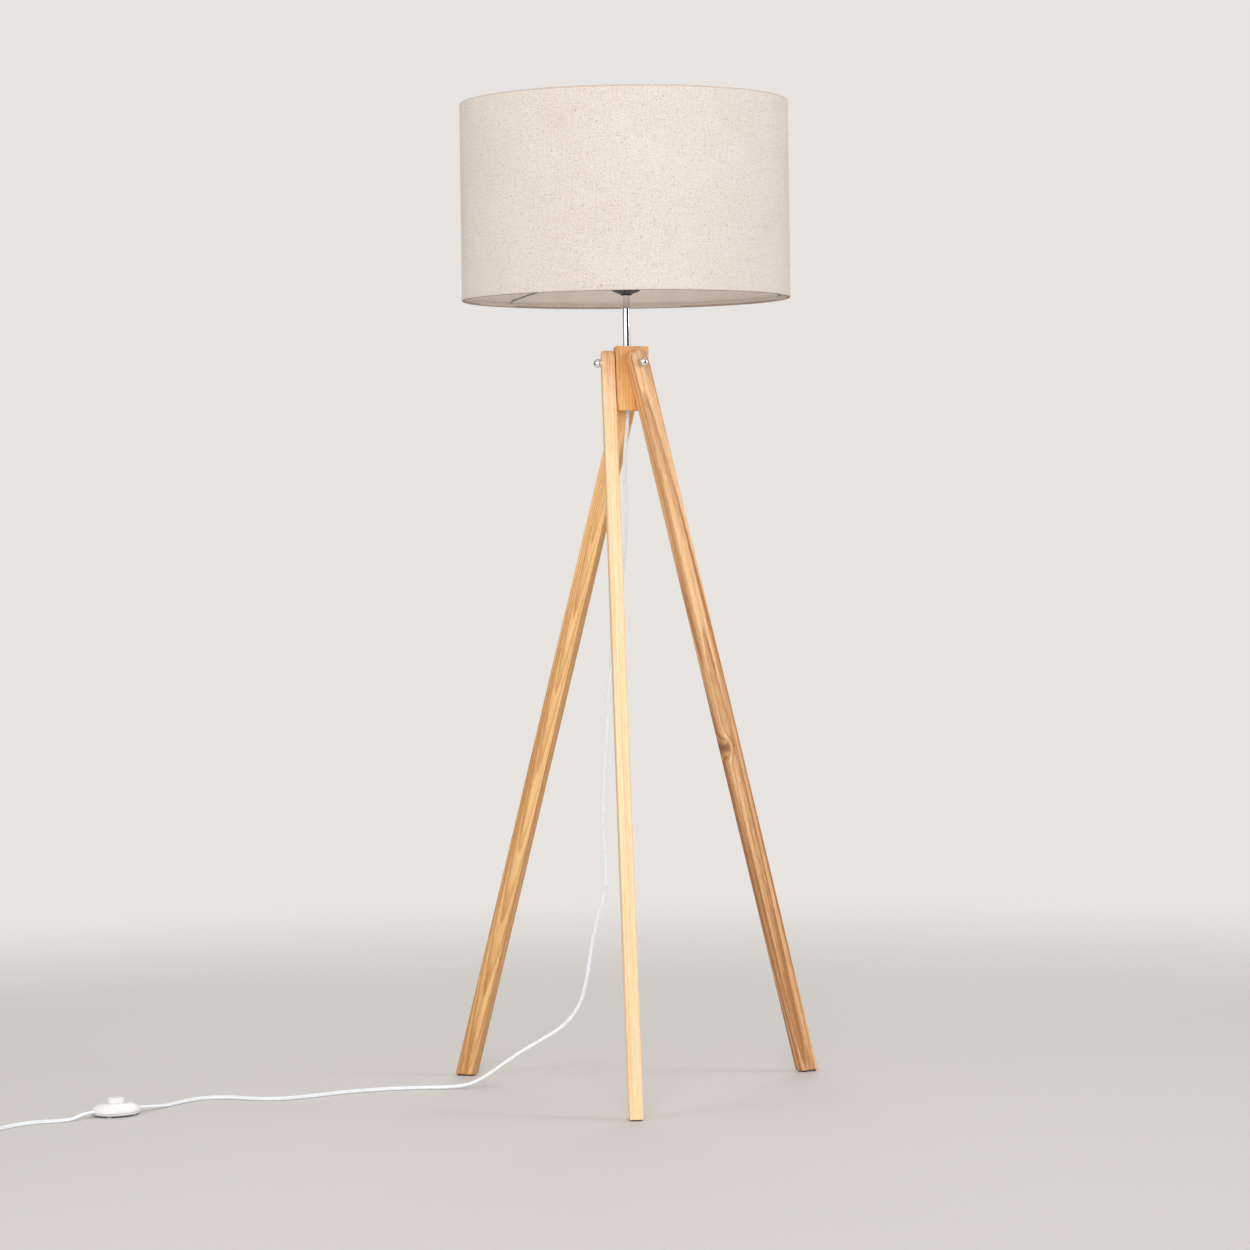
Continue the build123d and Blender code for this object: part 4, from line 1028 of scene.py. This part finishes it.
# Shade: one sheet of linen, glued to the liner and rolled round both rims
linen = {
    "columns": 384,
    "wallRows": 24,
    "rollRows": 12,
    "tuckRows": 3,
    "roll": 0.0023,  # radius of the rolled edge
    "proud": 0.0004,  # how far the roll stands out from the wall
    "inside": 0.0035,  # cloth turned up past the roll
    "thickness": 0.00045,
    "seamAngle": 96.0,  # degrees from +X, at the back
    "seamWidth": 0.012,
    "seamEdge": 0.0012,
    "seamFade": 1.8,  # seam widths to where it is level again
    "slack": 0.00012,  # unevenness of the wall
    "waves": ((5, 0.0, 0.5), (11, 1.3, 0.3), (23, 0.4, 0.2)),  # how many go round, start in radians, share
    "rimReach": 0.006,
    "rimSlack": 1.5,  # how much more uneven the rims are
    "relief": 0.00025,
    "sheen": 0.12,
    "gloss": 0.2,
    "cloth": (0.93, 0.85, 0.785),
    "shadow": (0.72, 0.62, 0.535),
    "rim": (0.42, 0.27, 0.19),  # painted shade on the rolled edge's bottom
    "rimBand": (1.1, 0.5, 0.3, 0.9),  # rolls before and past the bottom where that painted shade starts and ends
    "upperRim": (0.80, 0.73, 0.68),
    "upperBand": (0.3, 0.5),
    "flecks": 0.8,
    "fleck": (0.42, 0.27, 0.19),
}


def shadeProfile(c, low, high, radius):
    # the tuck inside, half round the lower rim, up the wall, half round the upper rim and the other tuck;
    # on a rim, at angle a, the cloth is roll cos a across and roll sin a up or down from the roll's middle
    roll = c["roll"]
    inner = radius + c["proud"] - 2 * roll
    bend = np.linspace(0, np.pi, c["rollRows"])
    tuck = np.linspace(c["inside"], 0, c["tuckRows"], endpoint=False)
    rise = np.linspace(low + roll, high - roll, c["wallRows"])[1:-1]
    r = np.concatenate([
        0 * tuck + inner,
        inner + roll - roll * np.cos(bend),
        0 * rise + radius,
        inner + roll + roll * np.cos(bend),
        0 * tuck + inner,
    ])
    z = np.concatenate([
        low + roll + tuck,
        low + roll - roll * np.sin(bend),
        rise,
        high - roll + roll * np.sin(bend),
        high - roll - tuck[::-1],
    ])
    return r, z


def makeLinen(c, length):
    # length is the cloth's, measured up the profile from one tuck to the other
    material = newMaterial("linen", SheenWeight=c["sheen"], SpecularIORLevel=c["gloss"])
    woven = dress(material, weaveGroup, c["relief"], place="UV",
                  Cloth=c["cloth"], Shadow=c["shadow"], Fleck=c["fleck"], Flecks=c["flecks"])
    # painted shade makes the bottom of the rolled edge browner; it is a quarter turn of the roll past the
    # tuck
    w = Wiring(material.node_tree)
    up = w.node("SeparateXYZ", None, Vector=w.node("TexCoord").outputs["UV"]).outputs["Y"]
    roll = c["roll"]
    bottom = c["inside"] + roll * np.pi / 2
    start, full, fading, end = [roll * share for share in c["rimBand"]]
    starting = w.range(up, bottom - start, bottom - full)
    ending = w.range(up, bottom + end, bottom + fading)
    tinted = w.mix(w.math("MULTIPLY", starting, ending), woven, c["rim"], "MULTIPLY")
    # painted shade darkens the upper roll where the cloth turns over the top rim
    topBend = length - c["inside"] - roll * np.pi
    before, past = [roll * share for share in c["upperBand"]]
    tinted = w.mix(w.range(up, topBend - before, topBend + past), tinted, c["upperRim"], "MULTIPLY")
    w.give(w.nodes["Principled BSDF"].inputs["Base Color"], tinted)
    return material


def makeShadeCloth(c):
    # the profile goes round the lamp's axis; small waves and the overlap of the seam move it outwards
    low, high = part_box("trim_bottom")[0].z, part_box("trim_top")[1].z
    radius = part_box("shade_cloth")[1].x
    r, z = shadeProfile(c, low, high, radius)
    run = alongLine(np.stack([r, z], -1))
    around = np.linspace(0, 2 * np.pi, c["columns"] + 1)
    wave = sum(share * np.sin(count * around + start) for count, start, share in c["waves"])
    fromSeam = around * radius
    seamEnd = smooth(fromSeam, c["seamWidth"], c["seamWidth"] * c["seamFade"])
    seam = smooth(fromSeam, 0, c["seamEdge"]) * (1 - seamEnd)
    nearRim = np.exp(-((z - low) / c["rimReach"]) ** 2) + np.exp(-((z - high) / c["rimReach"]) ** 2)
    spread = r[:, None] + c["thickness"] * seam * (r[:, None] > radius - c["roll"])
    spread = spread + c["slack"] * wave * (1 + c["rimSlack"] * nearRim[:, None])
    angle = math.radians(c["seamAngle"]) + around
    points = np.stack([spread * np.cos(angle), spread * np.sin(angle), z[:, None] + 0 * spread], -1)
    uv = np.stack([fromSeam + 0 * spread, run[:, None] + 0 * spread], -1)
    faces = gridFaces(*spread.shape, False)
    piece = putMesh("shadeCloth", points.reshape(-1, 3), faces, "shade", uv.reshape(-1, 2))
    wall = piece.modifiers.new("wall", "SOLIDIFY")
    wall.thickness = c["thickness"]
    wall.offset = -1
    piece.data.materials.append(makeLinen(c, float(run[-1])))
    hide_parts("shade_cloth", "trim_bottom", "trim_top")


makeShadeCloth(linen)
print("shade done")
